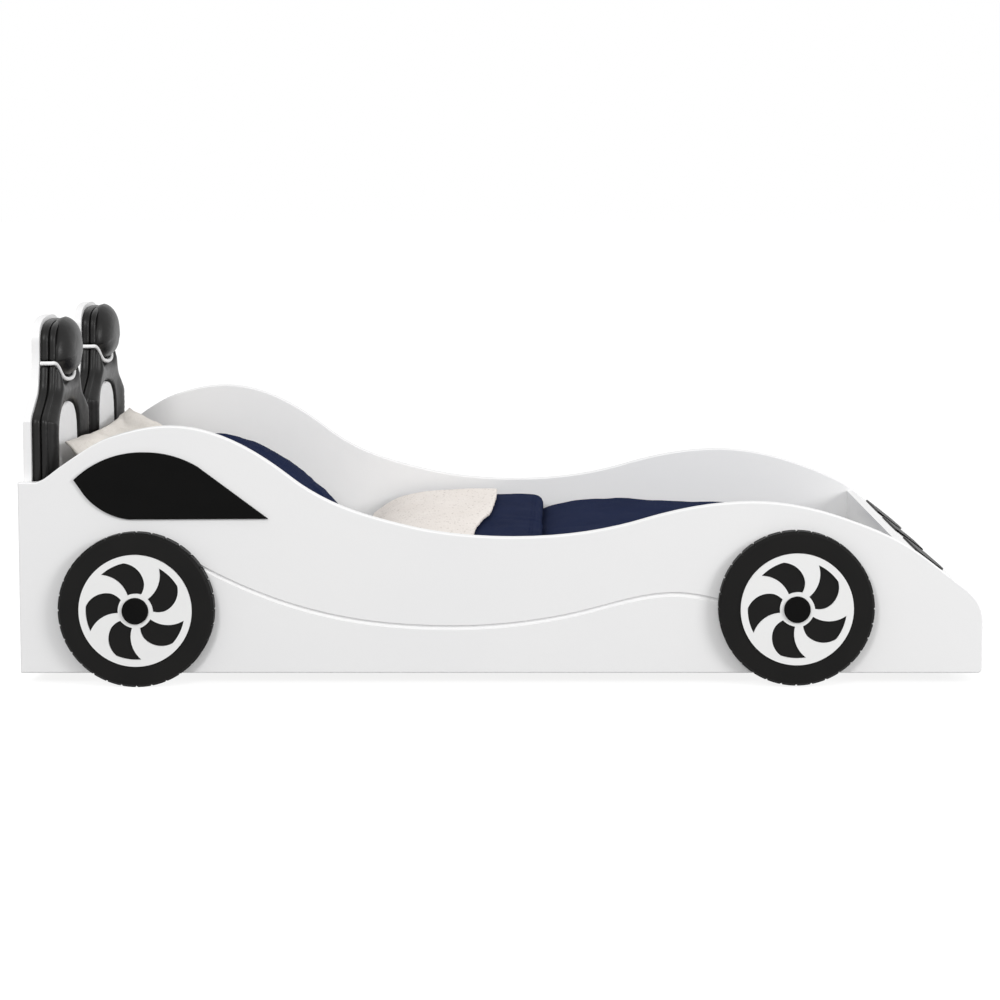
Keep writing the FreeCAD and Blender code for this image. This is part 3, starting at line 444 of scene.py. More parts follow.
def bezier(poles):
    """Points along a cubic curve, without its last."""
    points = []
    for i in range(CURVE_STEPS):
        t = i / CURVE_STEPS
        shares = ((1 - t) ** 3, 3 * t * (1 - t) ** 2, 3 * t * t * (1 - t), t ** 3)
        points.append(tuple(sum(share * pole[axis] for share, pole in zip(shares, poles))
                            for axis in (0, 1)))
    return points


def through(stations):
    """A smooth line through (run, height, slope) stations, its poles a third along each span."""
    points = []
    for (x0, y0, s0), (x1, y1, s1) in zip(stations, stations[1:]):
        third = (x1 - x0) / 3
        points += bezier([(x0, y0), (x0 + third, y0 + s0 * third), (x1 - third, y1 - s1 * third), (x1, y1)])
    return points + [stations[-1][:2]]


def quarter(start, end):
    """A full-shouldered quarter curve, upright at its start and level at its end."""
    upright = (start[0], start[1] + QUARTER_UPRIGHT * (end[1] - start[1]))
    level = (start[0] + QUARTER_LEVEL * (end[0] - start[0]), end[1])
    return bezier([start, upright, level, end]) + [end]


def mirrored(side):
    """A right-hand line followed by its mirror image back, crossing at its last point."""
    return side + [(-y, z) for y, z in reversed(side) if y > 0.01]


def evened(loop, step, soften):
    """A closed loop as evenly spaced points, its corners softened by that many passes."""
    loop = np.array(loop, float)
    loop = loop[np.linalg.norm(loop - np.roll(loop, 1, 0), axis=1) > 0.01]
    ahead = np.roll(loop, -1, 0)
    runs = np.linalg.norm(ahead - loop, axis=1)
    marks = np.concatenate([[0], np.cumsum(runs)])
    count = int(marks[-1] / step)
    closed = np.vstack([loop, loop[:1]])
    places = np.arange(count) * marks[-1] / count
    even = np.stack([np.interp(places, marks, closed[:, axis]) for axis in (0, 1)], 1)
    for _ in range(soften):
        even = 0.5 * even + 0.25 * (np.roll(even, 1, 0) + np.roll(even, -1, 0))
    turning = even[:, 0] * np.roll(even[:, 1], -1) - np.roll(even[:, 0], -1) * even[:, 1]
    return even if turning.sum() > 0 else even[::-1].copy()


def inset(loop, depth):
    """Each point of an anticlockwise loop moved inwards, square to the loop."""
    along = np.roll(loop, -1, 0) - np.roll(loop, 1, 0)
    along /= np.linalg.norm(along, axis=1)[:, None]
    return loop + depth * np.stack([-along[:, 1], along[:, 0]], 1)


def reach(points, line, closed=False):
    """Distance from each point to a line of straight runs."""
    line = np.array(line, float)
    if closed:
        line = np.vstack([line, line[:1]])
    first, run = line[:-1], np.diff(line, axis=0)
    length = np.maximum((run ** 2).sum(1), 1e-9)
    nearest = np.full(len(points), np.inf)
    for a, b, size in zip(first, run, length):
        t = np.clip(((points - a) @ b) / size, 0, 1)
        nearest = np.minimum(nearest, np.linalg.norm(points - a - t[:, None] * b, axis=1))
    return nearest


def enclosed(points, loop):
    """Which points lie inside a loop."""
    inside = np.zeros(len(points), bool)
    for (x0, y0), (x1, y1) in zip(loop, np.roll(loop, -1, 0)):
        if y0 != y1:
            crosses = (y0 > points[:, 1]) != (y1 > points[:, 1])
            inside ^= crosses & (points[:, 0] < (x1 - x0) * (points[:, 1] - y0) / (y1 - y0) + x0)
    return inside


def crown(share):
    """A round shoulder: 0 at 0, level at 1 and beyond."""
    return np.sqrt(1 - (1 - np.clip(share, 0, 1)) ** 2)


def travelled(line):
    """Distance along a line at each of its points."""
    return np.concatenate([[0], np.cumsum(np.linalg.norm(np.diff(line, axis=0), axis=1))])


def softest(*heights, ease=1.6):
    """The lowest of several surfaces, blended where they meet."""
    return -ease * np.log(sum(np.exp(-height / ease) for height in heights))


def wavering(points, scale, seed, depth=2):
    """Smooth seeded noise of about -1 to 1 at each point; scale is the size of its features."""
    shift = Vector((seed * 3.1, 0, seed))
    return np.array([noise.fractal(Vector((x, y, 0)) / scale + shift, 1, 2, depth) for x, y in points])


# ---------------------------------------------------------------- pieces
def spots_of(mesh):
    """A mesh's points as rows of numbers."""
    return np.array([tuple(vertex.co) for vertex in mesh.vertices])


def put(made, spots):
    """Move a piece's points to these spots."""
    made.data.vertices.foreach_set("co", spots.ravel())
    made.data.update()


def piece(name, points, faces, finish, chart=None, tidy=True):
    """A smooth mesh in metres at the origin; chart gives each point its place on the cloth."""
    mesh = bpy.data.meshes.new(name)
    mesh.from_pydata([tuple(point) for point in points], [], [tuple(face) for face in faces])
    mesh.polygons.foreach_set("use_smooth", [True] * len(mesh.polygons))
    if chart is not None:
        layer = mesh.uv_layers.new(name="weave")
        for loop in mesh.loops:
            layer.data[loop.index].uv = chart[loop.vertex_index]
    if tidy:
        shell = bmesh.new()
        shell.from_mesh(mesh)
        bmesh.ops.recalc_face_normals(shell, faces=shell.faces)
        shell.to_mesh(mesh)
        shell.free()
    made = bpy.data.objects.new(name, mesh)
    mesh.materials.append(finish.material)
    bpy.context.collection.objects.link(made)
    return made


ROW_SHARE = 0.866
RING_TRUE = 0.97
FILL_CLEAR = 0.6
SAME_SPOT = 1e-4


def tiled(loop, inner, spacing):
    """Triangles over a loop, its own points first, then inner rings and an even fill."""
    spots = [loop]
    depth = 0
    for depth in inner:
        ring = inset(loop, depth)
        spots.append(ring[reach(ring, loop, True) > RING_TRUE * depth])
    low, high = loop.min(0), loop.max(0)
    rows = np.arange(low[1], high[1], spacing * ROW_SHARE)
    fill = np.array([(x + (i % 2) * spacing / 2, y) for i, y in enumerate(rows)
                     for x in np.arange(low[0], high[0], spacing)])
    fill = fill[enclosed(fill, loop)]
    fill = fill[reach(fill, loop, True) > depth + spacing * FILL_CLEAR]
    corners = [Vector(spot) for spot in np.vstack(spots + [fill])]
    count = len(loop)
    edges = [(i, (i + 1) % count) for i in range(count)]
    points, _, triangles, sources, _, _ = delaunay_2d_cdt(corners, edges, [], 1, SAME_SPOT)
    order = [source[0] if source else -1 for source in sources]
    return np.array([tuple(point) for point in points]), triangles, order


RINGS = (1.5, 3, 4.5, 6, 8, 10.5, 13.5, 17, 21)
BACK_COARSER = 4


def padded(name, loop, wall, height, place, finish, spacing=8, rings=RINGS):
    """A pad over a loop: wall is (inset, height) from its back to its front edge.

    height gives the front its level at each point, and rings are the insets of its closer rows of points.
    """
    edge = inset(loop, wall[-1][0])
    flat, triangles, order = tiled(edge, rings, spacing)
    rim = {source: i for i, source in enumerate(order) if 0 <= source < len(loop)}
    level = height(flat)
    points = [place(u, v, w) for (u, v), w in zip(flat, level)]
    faces = [tuple(triangle) for triangle in triangles]
    front = [rim[i] for i in range(len(loop))]
    for i in front:
        points[i] = place(*flat[i], wall[-1][1])
    before = front
    for depth, rise in reversed(wall[:-1]):
        ring = [len(points) + i for i in range(len(loop))]
        points += [place(u, v, rise) for u, v in inset(loop, depth)]
        for i in range(len(loop)):
            j = (i + 1) % len(loop)
            faces.append((ring[i], ring[j], before[j], before[i]))
        before = ring
    back, closing, order = tiled(inset(loop, wall[0][0]), (), spacing * BACK_COARSER)
    spot = {}
    for i, source in enumerate(order):
        if 0 <= source < len(loop):
            spot[i] = before[source]
        else:
            spot[i] = len(points)
            points.append(place(*back[i], wall[0][1]))
    faces += [tuple(spot[i] for i in reversed(triangle)) for triangle in closing]
    return piece(name, points, faces, finish)


def joined(name, *parts):
    """Several meshes made into one piece."""
    mesh = bmesh.new()
    for part in parts:
        mesh.from_mesh(part.data)
    made = parts[0]
    mesh.to_mesh(made.data)
    mesh.free()
    made.name = name
    made.data.name = name
    for part in parts[1:]:
        bpy.data.objects.remove(part)
    return made


# ---------------------------------------------------------------- trees for welts and stitches
def tree_of(name, sizes):
    """An empty Geometry Nodes tree with named number inputs and a material input."""
    tree = bpy.data.node_groups.new(name, "GeometryNodeTree")
    tree.interface.new_socket("Geometry", in_out="INPUT", socket_type="NodeSocketGeometry")
    for label, setting in sizes.items():
        size = tree.interface.new_socket(label, in_out="INPUT", socket_type="NodeSocketFloat")
        size.default_value = setting
    tree.interface.new_socket("Finish", in_out="INPUT", socket_type="NodeSocketMaterial")
    tree.interface.new_socket("Geometry", in_out="OUTPUT", socket_type="NodeSocketGeometry")
    return tree, tree.nodes.new("NodeGroupInput"), tree.nodes.new("NodeGroupOutput")


def grow(tree, kind, settings=None, **links):
    """One node, its settings first; a link's name is its socket's, with _ for a blank."""
    made = tree.nodes.new(kind)
    for label, setting in (settings or {}).items():
        setattr(made, label, setting)
    for label, value in links.items():
        socket = made.inputs[label.replace("_", " ")]
        if isinstance(value, bpy.types.NodeSocket):
            tree.links.new(value, socket)
        else:
            socket.default_value = value
    return made


def closed_off(tree, geometry, given, end):
    """End a tree with its instances made real and its finish set."""
    whole = grow(tree, "GeometryNodeRealizeInstances", Geometry=geometry)
    coat = grow(tree, "GeometryNodeSetMaterial", Geometry=whole.outputs[0],
                Material=given.outputs["Finish"])
    tree.links.new(coat.outputs[0], end.inputs[0])
    return tree


def welt_tree():
    """Turn a line into a round cord."""
    tree, given, end = tree_of("Welt", {"Radius": 0.004})
    line = grow(tree, "GeometryNodeMeshToCurve", Mesh=given.outputs["Geometry"])
    ring = grow(tree, "GeometryNodeCurvePrimitiveCircle", Resolution=12, Radius=given.outputs["Radius"])
    tube = grow(tree, "GeometryNodeCurveToMesh", Curve=line.outputs[0], Profile_Curve=ring.outputs[0],
                Fill_Caps=True)
    return closed_off(tree, tube.outputs[0], given, end)


def stitch_tree():
    """Lay short rounded stitches along a line, one each pitch."""
    tree, given, end = tree_of("Stitch row", {"Pitch": 0.005, "Length": 0.0036, "Thickness": 0.0007})
    line = grow(tree, "GeometryNodeMeshToCurve", Mesh=given.outputs["Geometry"])
    spots = grow(tree, "GeometryNodeCurveToPoints", {"mode": "LENGTH"}, Curve=line.outputs[0],
                 Length=given.outputs["Pitch"])
    bead = grow(tree, "GeometryNodeMeshIcoSphere", Radius=0.5, Subdivisions=1)
    size = grow(tree, "ShaderNodeCombineXYZ", X=given.outputs["Thickness"], Y=given.outputs["Thickness"],
                Z=given.outputs["Length"])
    shaped = grow(tree, "GeometryNodeTransform", Geometry=bead.outputs[0], Scale=size.outputs[0])
    row = grow(tree, "GeometryNodeInstanceOnPoints", Points=spots.outputs["Points"],
               Instance=shaped.outputs[0], Rotation=spots.outputs["Rotation"])
    return closed_off(tree, row.outputs[0], given, end)


WELT = welt_tree()
STITCH_ROW = stitch_tree()


def along(name, tree, lines, finish, closed=False, **sizes):
    """A tree's piece grown along lines of points in metres, as a plain mesh."""
    points = []
    edges = []
    for line in lines:
        first = len(points)
        points += [tuple(point) for point in line]
        edges += [(first + i, first + i + 1) for i in range(len(line) - 1)]
        if closed:
            edges.append((len(points) - 1, first))
    mesh = bpy.data.meshes.new(name)
    mesh.from_pydata(points, edges, [])
    path = bpy.data.objects.new(name, mesh)
    bpy.context.collection.objects.link(path)
    grower = path.modifiers.new("grow", "NODES")
    grower.node_group = tree
    wanted = {"Finish": finish.material, **{label.title(): size for label, size in sizes.items()}}
    for item in tree.interface.items_tree:
        if item.in_out == "INPUT" and item.name in wanted:
            grower[item.identifier] = wanted[item.name]
    graph = bpy.context.evaluated_depsgraph_get()
    grown = bpy.data.meshes.new_from_object(path.evaluated_get(graph))
    path.modifiers.remove(grower)
    path.data = grown
    grown.name = name
    grown.polygons.foreach_set("use_smooth", [True] * len(grown.polygons))
    return path


STITCH_DROP = 0.2
STITCH_LIFT = 0.0002


def stitched(name, made, lines, slot, **sizes):
    """Rows of stitches set down from above on a piece's own surface."""
    tree = BVHTree.FromObject(made, bpy.context.evaluated_depsgraph_get())
    rows = []
    for line in lines:
        hits = [tree.ray_cast(Vector((x, y, z + STITCH_DROP)), Vector((0, 0, -1)))[0] for x, y, z in line]
        rows.append([hit + Vector((0, 0, STITCH_LIFT)) for hit in hits if hit])
    stand_for(along(name, STITCH_ROW, rows, finishes[slot], **sizes), slot)


def stand_for(made, slot, *replaced):
    """Let a piece ride on the bed and hide the nodes it stands for. The slot argument is not used."""
    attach(made, "root")
    if replaced:
        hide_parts(*replaced)
    return made


# ---------------------------------------------------------------- racing seats, in millimetres
# a seat's middle is this far from the bed's, its back on the front of the headboard
SEAT_OFF = 243
BOARD_FRONT = -1088
# half widths and heights of a seat's outline, from its foot up to its crown
SEAT_HALF = 213
NECK_HALF = 122.5
HEAD_HALF = 110
SEAT_FOOT = 262
SHOULDER_HEIGHT = 603
SHOULDER_RISE = 97
SHOULDER_LIFT = 0.4
# the shoulder's curve, as shares of its run and rise, and its slope there
SHOULDER = ((0.213, 0.1215, 1.608), (0.381, 0.398, 1.608), (0.67, 0.84, 1.071))
NECK_TAPER = -0.25
NECK_HEIGHT = 737
NECK_DIP = 46
# the seam from its end to its middle: share of its half width, share of the dip, slope
NECK_SEAM = ((-1, 0, 0), (-0.72, 0.5, 3), (-0.4, 0.93, 0.4), (0, 1, 0))
NECK_SEAM_HALF = 106.5
TEMPLE_HEIGHT = 782
CROWN_HEIGHT = 836
ARCH_HALF = 113
ARCH_SPRING = 540
ARCH_TOP = 635
PIPING_HALF = 4.4
BASE_DEEP = 20
PAD_INSET = 3


def seat_side(margin):
    """One side of a seat, from its foot up and over to the middle of its crown, as (y, z)."""
    run, rise = SHOULDER_RISE, NECK_HALF - SEAT_HALF
    start = SHOULDER_HEIGHT + SHOULDER_LIFT * margin
    stations = [(start, SEAT_HALF + margin, 0)]
    stations += [(start + u * run, SEAT_HALF + margin + v * rise, slope * rise / run)
                 for u, v, slope in SHOULDER]
    stations += [(start + run, NECK_HALF + margin, NECK_TAPER), (TEMPLE_HEIGHT, HEAD_HALF + margin, 0)]
    side = [(SEAT_HALF + margin, SEAT_FOOT)] + [(y, z) for z, y in through(stations)]
    return side + quarter((HEAD_HALF + margin, TEMPLE_HEIGHT), (0, CROWN_HEIGHT + margin))


def neck_seam(shift):
    """The seam under the headrest, from the right to the left: level, then one broad dip."""
    fall = [(u * NECK_SEAM_HALF, NECK_HEIGHT + shift - v * NECK_DIP, -slope * NECK_DIP / NECK_SEAM_HALF)
            for u, v, slope in NECK_SEAM]
    rise = [(-x, z, -slope) for x, z, slope in reversed(fall[:-1])]
    return list(reversed(through(fall + rise)))


def arch_line(margin):
    """The n-shaped opening, from its left foot over its top to its right foot."""
    half = ARCH_HALF + margin
    side = [(half, SEAT_FOOT), (half, ARCH_SPRING)] + quarter((half, ARCH_SPRING), (0, ARCH_TOP + margin))
    return [(-y, z) for y, z in mirrored(side)]


def cut_at(side, level):
    """A rising side split at a level, as the parts under and over it."""
    under = [spot for spot in side if spot[1] < level - 1]
    over = [spot for spot in side if spot[1] > level + 1]
    (y0, z0), (y1, z1) = under[-1], over[0]
    cut = (y0 + (y1 - y0) * (level - z0) / (z1 - z0), level)
    return under + [cut], [cut] + over


def across(centre, back):
    """Places a seat's (y, z, depth) in millimetres about its centre line, ahead of a plane."""
    return lambda u, v, w: ((back + w) * MM, (centre + u) * MM, v * MM)


def under_neck(margin):
    """The n of a seat under the headrest, with its right side and its seam."""
    under, _ = cut_at(seat_side(margin), NECK_HEIGHT - PIPING_HALF)
    seam = neck_seam(-PIPING_HALF)
    return under + seam + [(-y, z) for y, z in reversed(under)] + arch_line(0), under, seam


def over_neck(margin):
    """The headrest's outline, with its right side."""
    _, over = cut_at(seat_side(margin), NECK_HEIGHT + PIPING_HALF)
    return mirrored(over) + list(reversed(neck_seam(PIPING_HALF))), over


def both_sides(side):
    """A right-hand line and its mirror image."""
    return side, [(-y, z) for y, z in side]


# walls from the back to the front edge, as (inset, height)
BASE_WALL = ((7, 0.4), (2.6, 1.4), (0.7, 4), (0, 8), (0, 12), (0.8, 15.6), (2.8, 18.4), (6.5, 19.6))
BASE_LEVEL = 19.8
EDGE_LEVEL = 13.6
ROLL_WALL = ((6, 0.4), (2.4, 1.2), (0.6, 3.6), (0, 7.2), (0.5, 10.8), (2.2, EDGE_LEVEL))
# the sewn roll along an edge, the crease behind it, and the padding that rises from the crease
ROLL_MIDDLE = 4.4
ROLL_HALF = 5.8
CREASE_AT = 11
CREASE_LEVEL = 8.6
ROLL_LEVEL = 15
PAD_FULL = 37
PAD_RUN = 26
ARCH_EDGE = 22.5
ARCH_RUN = 9
LIMB_FALL = 78
TUCK_LEVEL = 10
TUCK_RUN = 60
SLACK_RUN = 18
BORDER_FULL = 10.5
BORDER_RUN = 12


def roll_and_rise(depth, full, run):
    """Across an edge: a sewn roll, the crease behind it, then the padding's shoulder."""
    hump = np.sqrt(np.clip(1 - ((depth - ROLL_MIDDLE) / ROLL_HALF) ** 2, 0, 1))
    roll = CREASE_LEVEL + (ROLL_LEVEL - CREASE_LEVEL) * hump
    rise = CREASE_LEVEL + (full - CREASE_LEVEL) * crown((depth - CREASE_AT) / run)
    return np.where(depth < CREASE_AT, roll, rise)


def seat_pad(name, centre, seed):
    """The padded n of a seat: a roll along its outer edges, full limbs, turned in round the arch."""
    loop, side, seam = under_neck(-PAD_INSET)
    arch = arch_line(0)

    def height(spots):
        outer = np.minimum(*[reach(spots, edge) for edge in both_sides(side)])
        inner = reach(spots, arch)
        neck = reach(spots, seam)
        pull = wavering(spots, 62, seed) * 1.1 + wavering(spots, 21, seed + 5) * 0.15
        sides = roll_and_rise(outer, PAD_FULL, PAD_RUN)
        lip = ARCH_EDGE + (PAD_FULL + 2 - ARCH_EDGE) * np.clip(inner / LIMB_FALL, 0, 1)
        turned = EDGE_LEVEL + (lip - EDGE_LEVEL) * crown((inner - 2) / ARCH_RUN)
        tucked = TUCK_LEVEL + (PAD_FULL + 1 - TUCK_LEVEL) * crown((neck - 3) / TUCK_RUN)
        slack = np.clip(np.minimum(np.minimum(outer - CREASE_AT, inner), neck) / SLACK_RUN, 0, 1)
        return softest(sides, turned, tucked) + slack * pull

    return padded(name, evened(loop, 4, 3), ROLL_WALL, height, across(centre, BOARD_FRONT + BASE_DEEP),
                  finishes["black_leatherette"])


def flat_layer(name, centre, loop):
    """The plain upholstered layer behind a pad, against the board."""
    return padded(name, evened(loop, 4.5, 3), BASE_WALL, lambda spots: np.full(len(spots), BASE_LEVEL),
                  across(centre, BOARD_FRONT), finishes["black_leatherette"], 16, (4, 12))


DOME_HALF = 103
DOME_TOP = 840
DOME_WAIST = 746.3
DOME_DROP = 55
DOME_OVERHANG = 4
DOME_EASE = 12
DOME_POWER = 2 / 2.2
DOME_DEEP = 52
DOME_FROM = 9.0
DOME_LIFT = 5
DOME_BLUNT = 3.1
DOME_ROUND = 0.62
DOME_UNEVEN = 0.5
DOME_SPOTS = 120
# rings of points from the back of the dome to its front: share of the outline, and level where it is set
DOME_BACK = ((0.93, DOME_FROM - 7), (0.965, DOME_FROM))
DOME_SHARES = (0.995, 0.98, 0.955, 0.92, 0.87, 0.8, 0.71, 0.6, 0.47, 0.33, 0.18)


def egg(turn, share):
    """A point of the headrest's egg, share of the way out from its middle."""
    y, up = math.cos(turn), math.sin(turn)
    y = math.copysign(abs(y) ** DOME_POWER, y)
    up = math.copysign(abs(up) ** DOME_POWER, up)
    middle = (DOME_TOP + NECK_HEIGHT - NECK_DIP) / 2
    over, under = DOME_TOP - DOME_WAIST, DOME_DROP
    rim = DOME_WAIST + up * ((over + under) / 2 + (over - under) / 2 * math.sin(up * math.pi / 2))
    seam = np.interp(y * DOME_HALF, *zip(*neck_seam(0)[::-1]))
    clear = rim - seam - PIPING_HALF + DOME_OVERHANG
    rim = rim + (math.hypot(clear, DOME_EASE) - clear) / 2
    return y * DOME_HALF * share, middle + (rim - middle) * share


def dome(name, centre, seed):
    """The headrest's smooth egg, full in front and pulled in round its seam."""
    place = across(centre, BOARD_FRONT + BASE_DEEP)
    turns = [i * math.tau / DOME_SPOTS for i in range(DOME_SPOTS)]
    points = [place(*egg(turn, share), level) for share, level in DOME_BACK for turn in turns]
    for share in DOME_SHARES:
        swell = (1 - share ** DOME_BLUNT) ** DOME_ROUND
        full = DOME_FROM + DOME_LIFT + (DOME_DEEP - DOME_FROM - DOME_LIFT) * swell
        for turn in turns:
            y, z = egg(turn, share)
            points.append(place(y, z, full + DOME_UNEVEN * noise.noise(Vector((y / 40, z / 40, seed)))))
    points.append(place(*egg(0, 0), DOME_DEEP))
    last = len(points) - 1 - DOME_SPOTS
    faces = []
    for first in range(0, last, DOME_SPOTS):
        for i in range(DOME_SPOTS):
            j = (i + 1) % DOME_SPOTS
            faces.append((first + i, first + j, first + DOME_SPOTS + j, first + DOME_SPOTS + i))
    faces += [(last + i, last + (i + 1) % DOME_SPOTS, len(points) - 1) for i in range(DOME_SPOTS)]
    faces.append(tuple(reversed(range(DOME_SPOTS))))
    return piece(name, points, faces, finishes["black_leatherette"])


def headrest_border(name, centre):
    """The low pad round the dome, with a roll along its outer edge."""
    loop, over = over_neck(-PAD_INSET)

    def height(spots):
        outer = np.minimum(*[reach(spots, edge) for edge in both_sides(over)])
        return roll_and_rise(outer, BORDER_FULL, BORDER_RUN)

    return padded(name, evened(loop, 4, 3), ROLL_WALL, height, across(centre, BOARD_FRONT + BASE_DEEP),
                  finishes["black_leatherette"], 12)


INSERT_WALL = ((1.5, 0.4), (0, 2), (0, 33), (0.8, 35.5))
INSERT_LEVEL = 36
INSERT_CROWN = 6
INSERT_RUN = 26
INSERT_PITCH = 44
SEAM_SHARE = 0.16
SEAM_DEPTH = 0.7


def white_insert(name, centre, seed):
    """A seat's white centre: softly crowned, with shallow seams in diamonds."""
    loop = evened(arch_line(-0.6), 5, 2)

    def height(spots):
        y, z = spots.T
        edge = reach(spots, loop, True)
        nearness = [np.abs(((y + way * z) / INSERT_PITCH) % 1 - 0.5) * 2 for way in (1, -1)]
        seams = sum(np.exp(-((1 - near) / SEAM_SHARE) ** 2) for near in nearness)
        full = INSERT_LEVEL + INSERT_CROWN * crown(edge / INSERT_RUN)
        return full - SEAM_DEPTH * seams * np.clip(edge / 14, 0, 1) + 0.5 * wavering(spots, 60, seed)

    return padded(name, loop, INSERT_WALL, height, across(centre, BOARD_FRONT), finishes["white_insert"])


PIPING_RADIUS = 0.0048
PIPING_AHEAD = 31.5
PIPING_BULGE = 17
# the cord's way round a seat's side: ahead of the board, and in from the side
PIPING_BEND = ((1, 0), (14, 0), (22, 0.5), (29, 3.5))


def piping_line(centre):
    """From the board round one side, over the front along the neck seam, and back to the board."""
    side = cut_at(seat_side(0), NECK_HEIGHT)[0][-1][0] + 0.2
    front = BOARD_FRONT + PIPING_AHEAD
    path = [(BOARD_FRONT + ahead, side - inwards, NECK_HEIGHT) for ahead, inwards in PIPING_BEND]
    bulge = [(front + PIPING_BULGE * (1 - (abs(y) / NECK_SEAM_HALF) ** 2.4), y, z)
             for y, z in neck_seam(0)[::3]]
    whole = path + bulge + [(x, -y, z) for x, y, z in reversed(path)]
    return smooth_line([(x * MM, (centre + y) * MM, z * MM) for x, y, z in whole], 0.004)


def smooth_line(spots, step):
    """Even points on the smooth curve that spots steer."""
    curve = bpy.data.curves.new("line", "CURVE")
    curve.dimensions = "3D"
    curve.resolution_u = 8
    spline = curve.splines.new("NURBS")
    spline.points.add(len(spots) - 1)
    for point, spot in zip(spline.points, spots):
        point.co = (*spot, 1)
    spline.order_u = 3
    spline.use_endpoint_u = True
    carrier = bpy.data.objects.new("line", curve)
    mesh = bpy.data.meshes.new_from_object(carrier)
    points = spots_of(mesh)
    bpy.data.objects.remove(carrier)
    bpy.data.meshes.remove(mesh)
    marks = travelled(points)
    count = max(2, round(marks[-1] / step))
    places = np.linspace(0, marks[-1], count + 1)
    return np.stack([np.interp(places, marks, points[:, axis]) for axis in range(3)], 1)


def racing_seat(side_name, side):
    """One seat in its layers, with the piping round its neck."""
    centre = side * SEAT_OFF
    seed = 3 + side
    leather = "black_leatherette"
    base = flat_layer(f"seat_layer_{side_name}", centre, under_neck(0)[0])
    stand_for(base, leather, f"seat_back_base_{side_name}")
    pad = seat_pad(f"seat_limbs_{side_name}", centre, seed)
    stand_for(pad, leather, f"seat_back_pad_{side_name}")
    top = flat_layer(f"headrest_layer_{side_name}", centre, over_neck(0)[0])
    stand_for(top, leather, f"headrest_base_{side_name}")
    cushion = joined(f"headrest_cushion_{side_name}", headrest_border(f"border_{side_name}", centre),
                     dome(f"dome_{side_name}", centre, seed))
    stand_for(cushion, leather, f"headrest_pad_{side_name}")
    insert = white_insert(f"seat_insert_{side_name}", centre, seed)
    stand_for(insert, "white_insert", f"centre_insert_{side_name}")
    cord = along(f"seat_piping_{side_name}", WELT, [piping_line(centre)], finishes["white_piping"],
                 radius=PIPING_RADIUS)
    stand_for(cord, "white_piping", f"neck_piping_{side_name}")


for name, side in SIDES.items():
    racing_seat(name, side)


# ---------------------------------------------------------------- mattress, in millimetres
MATTRESS_TOP = 245
MATTRESS_CORNER = 30
# the border from the bottom up: inset, and height over the bottom
MATTRESS_WALL = ((6, 0), (1.5, 3), (0, 10), (1.2, 13), (0.2, 22), (0, 75), (0.2, 130), (1.2, 137), (0, 140),
                 (1, 142))
MATTRESS_SHOULDER = 30
PUFF_PITCH = 96
PUFF_SEAM = 9
PUFF_DEPTH = 3.4
BORDER_WELTS = (107, 234)
WELT_INSET = 1.4
TAPE_INSET = 16


def mattress():
    """A foam mattress: quilted top in shallow diamonds, a plain border between two welts."""
    (x0, y0, z0), (x1, y1, z1) = [[part / MM for part in corner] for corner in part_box("mattress")]
    left, right = y1 - MATTRESS_CORNER, y0 + MATTRESS_CORNER
    foot, head = x1 - MATTRESS_CORNER, x0 + MATTRESS_CORNER
    spots = []
    for turn, (x, y) in enumerate(((foot, left), (head, left), (head, right), (foot, right))):
        for angle in [(turn + i / 8) * math.pi / 2 for i in range(9)]:
            spots.append((x + MATTRESS_CORNER * math.cos(angle), y + MATTRESS_CORNER * math.sin(angle)))
    loop = evened(spots, 14, 1)

    def height(points):
        edge = reach(points, loop, True)
        lines = [np.abs(((points[:, 0] * way + points[:, 1]) / PUFF_PITCH) % 1 - 0.5) for way in (1, -1)]
        seams = [np.exp(-(((0.5 - line) * PUFF_PITCH) / PUFF_SEAM) ** 2) for line in lines]
        full = z1 - 9 + 8.4 * crown(edge / MATTRESS_SHOULDER)
        return full + PUFF_DEPTH * softest(-seams[0], -seams[1], ease=0.1)

    cotton = finishes["mattress_cotton"]
    made = padded("foam_mattress", loop, [(depth, z0 + rise) for depth, rise in MATTRESS_WALL], height,
                  lambda u, v, w: (u * MM, v * MM, w * MM), cotton, 13, (3, 7, 12, 20))
    stand_for(made, "mattress_cotton", "mattress")
    lines = [[(x * MM, y * MM, level * MM) for x, y in inset(loop, WELT_INSET)] for level in BORDER_WELTS]
    stand_for(along("mattress_welts", WELT, lines, cotton, True, radius=0.0026), "mattress_cotton")
    tape = [(x * MM, y * MM, z1 * MM) for x, y in inset(loop, TAPE_INSET)]
    stitched("mattress_stitches", made, [tape + tape[:1]], "mattress_cotton",
             pitch=0.009, length=0.006, thickness=0.0016)


# ---------------------------------------------------------------- stuffed covers, in metres
CLOTH_FRAMES = 22


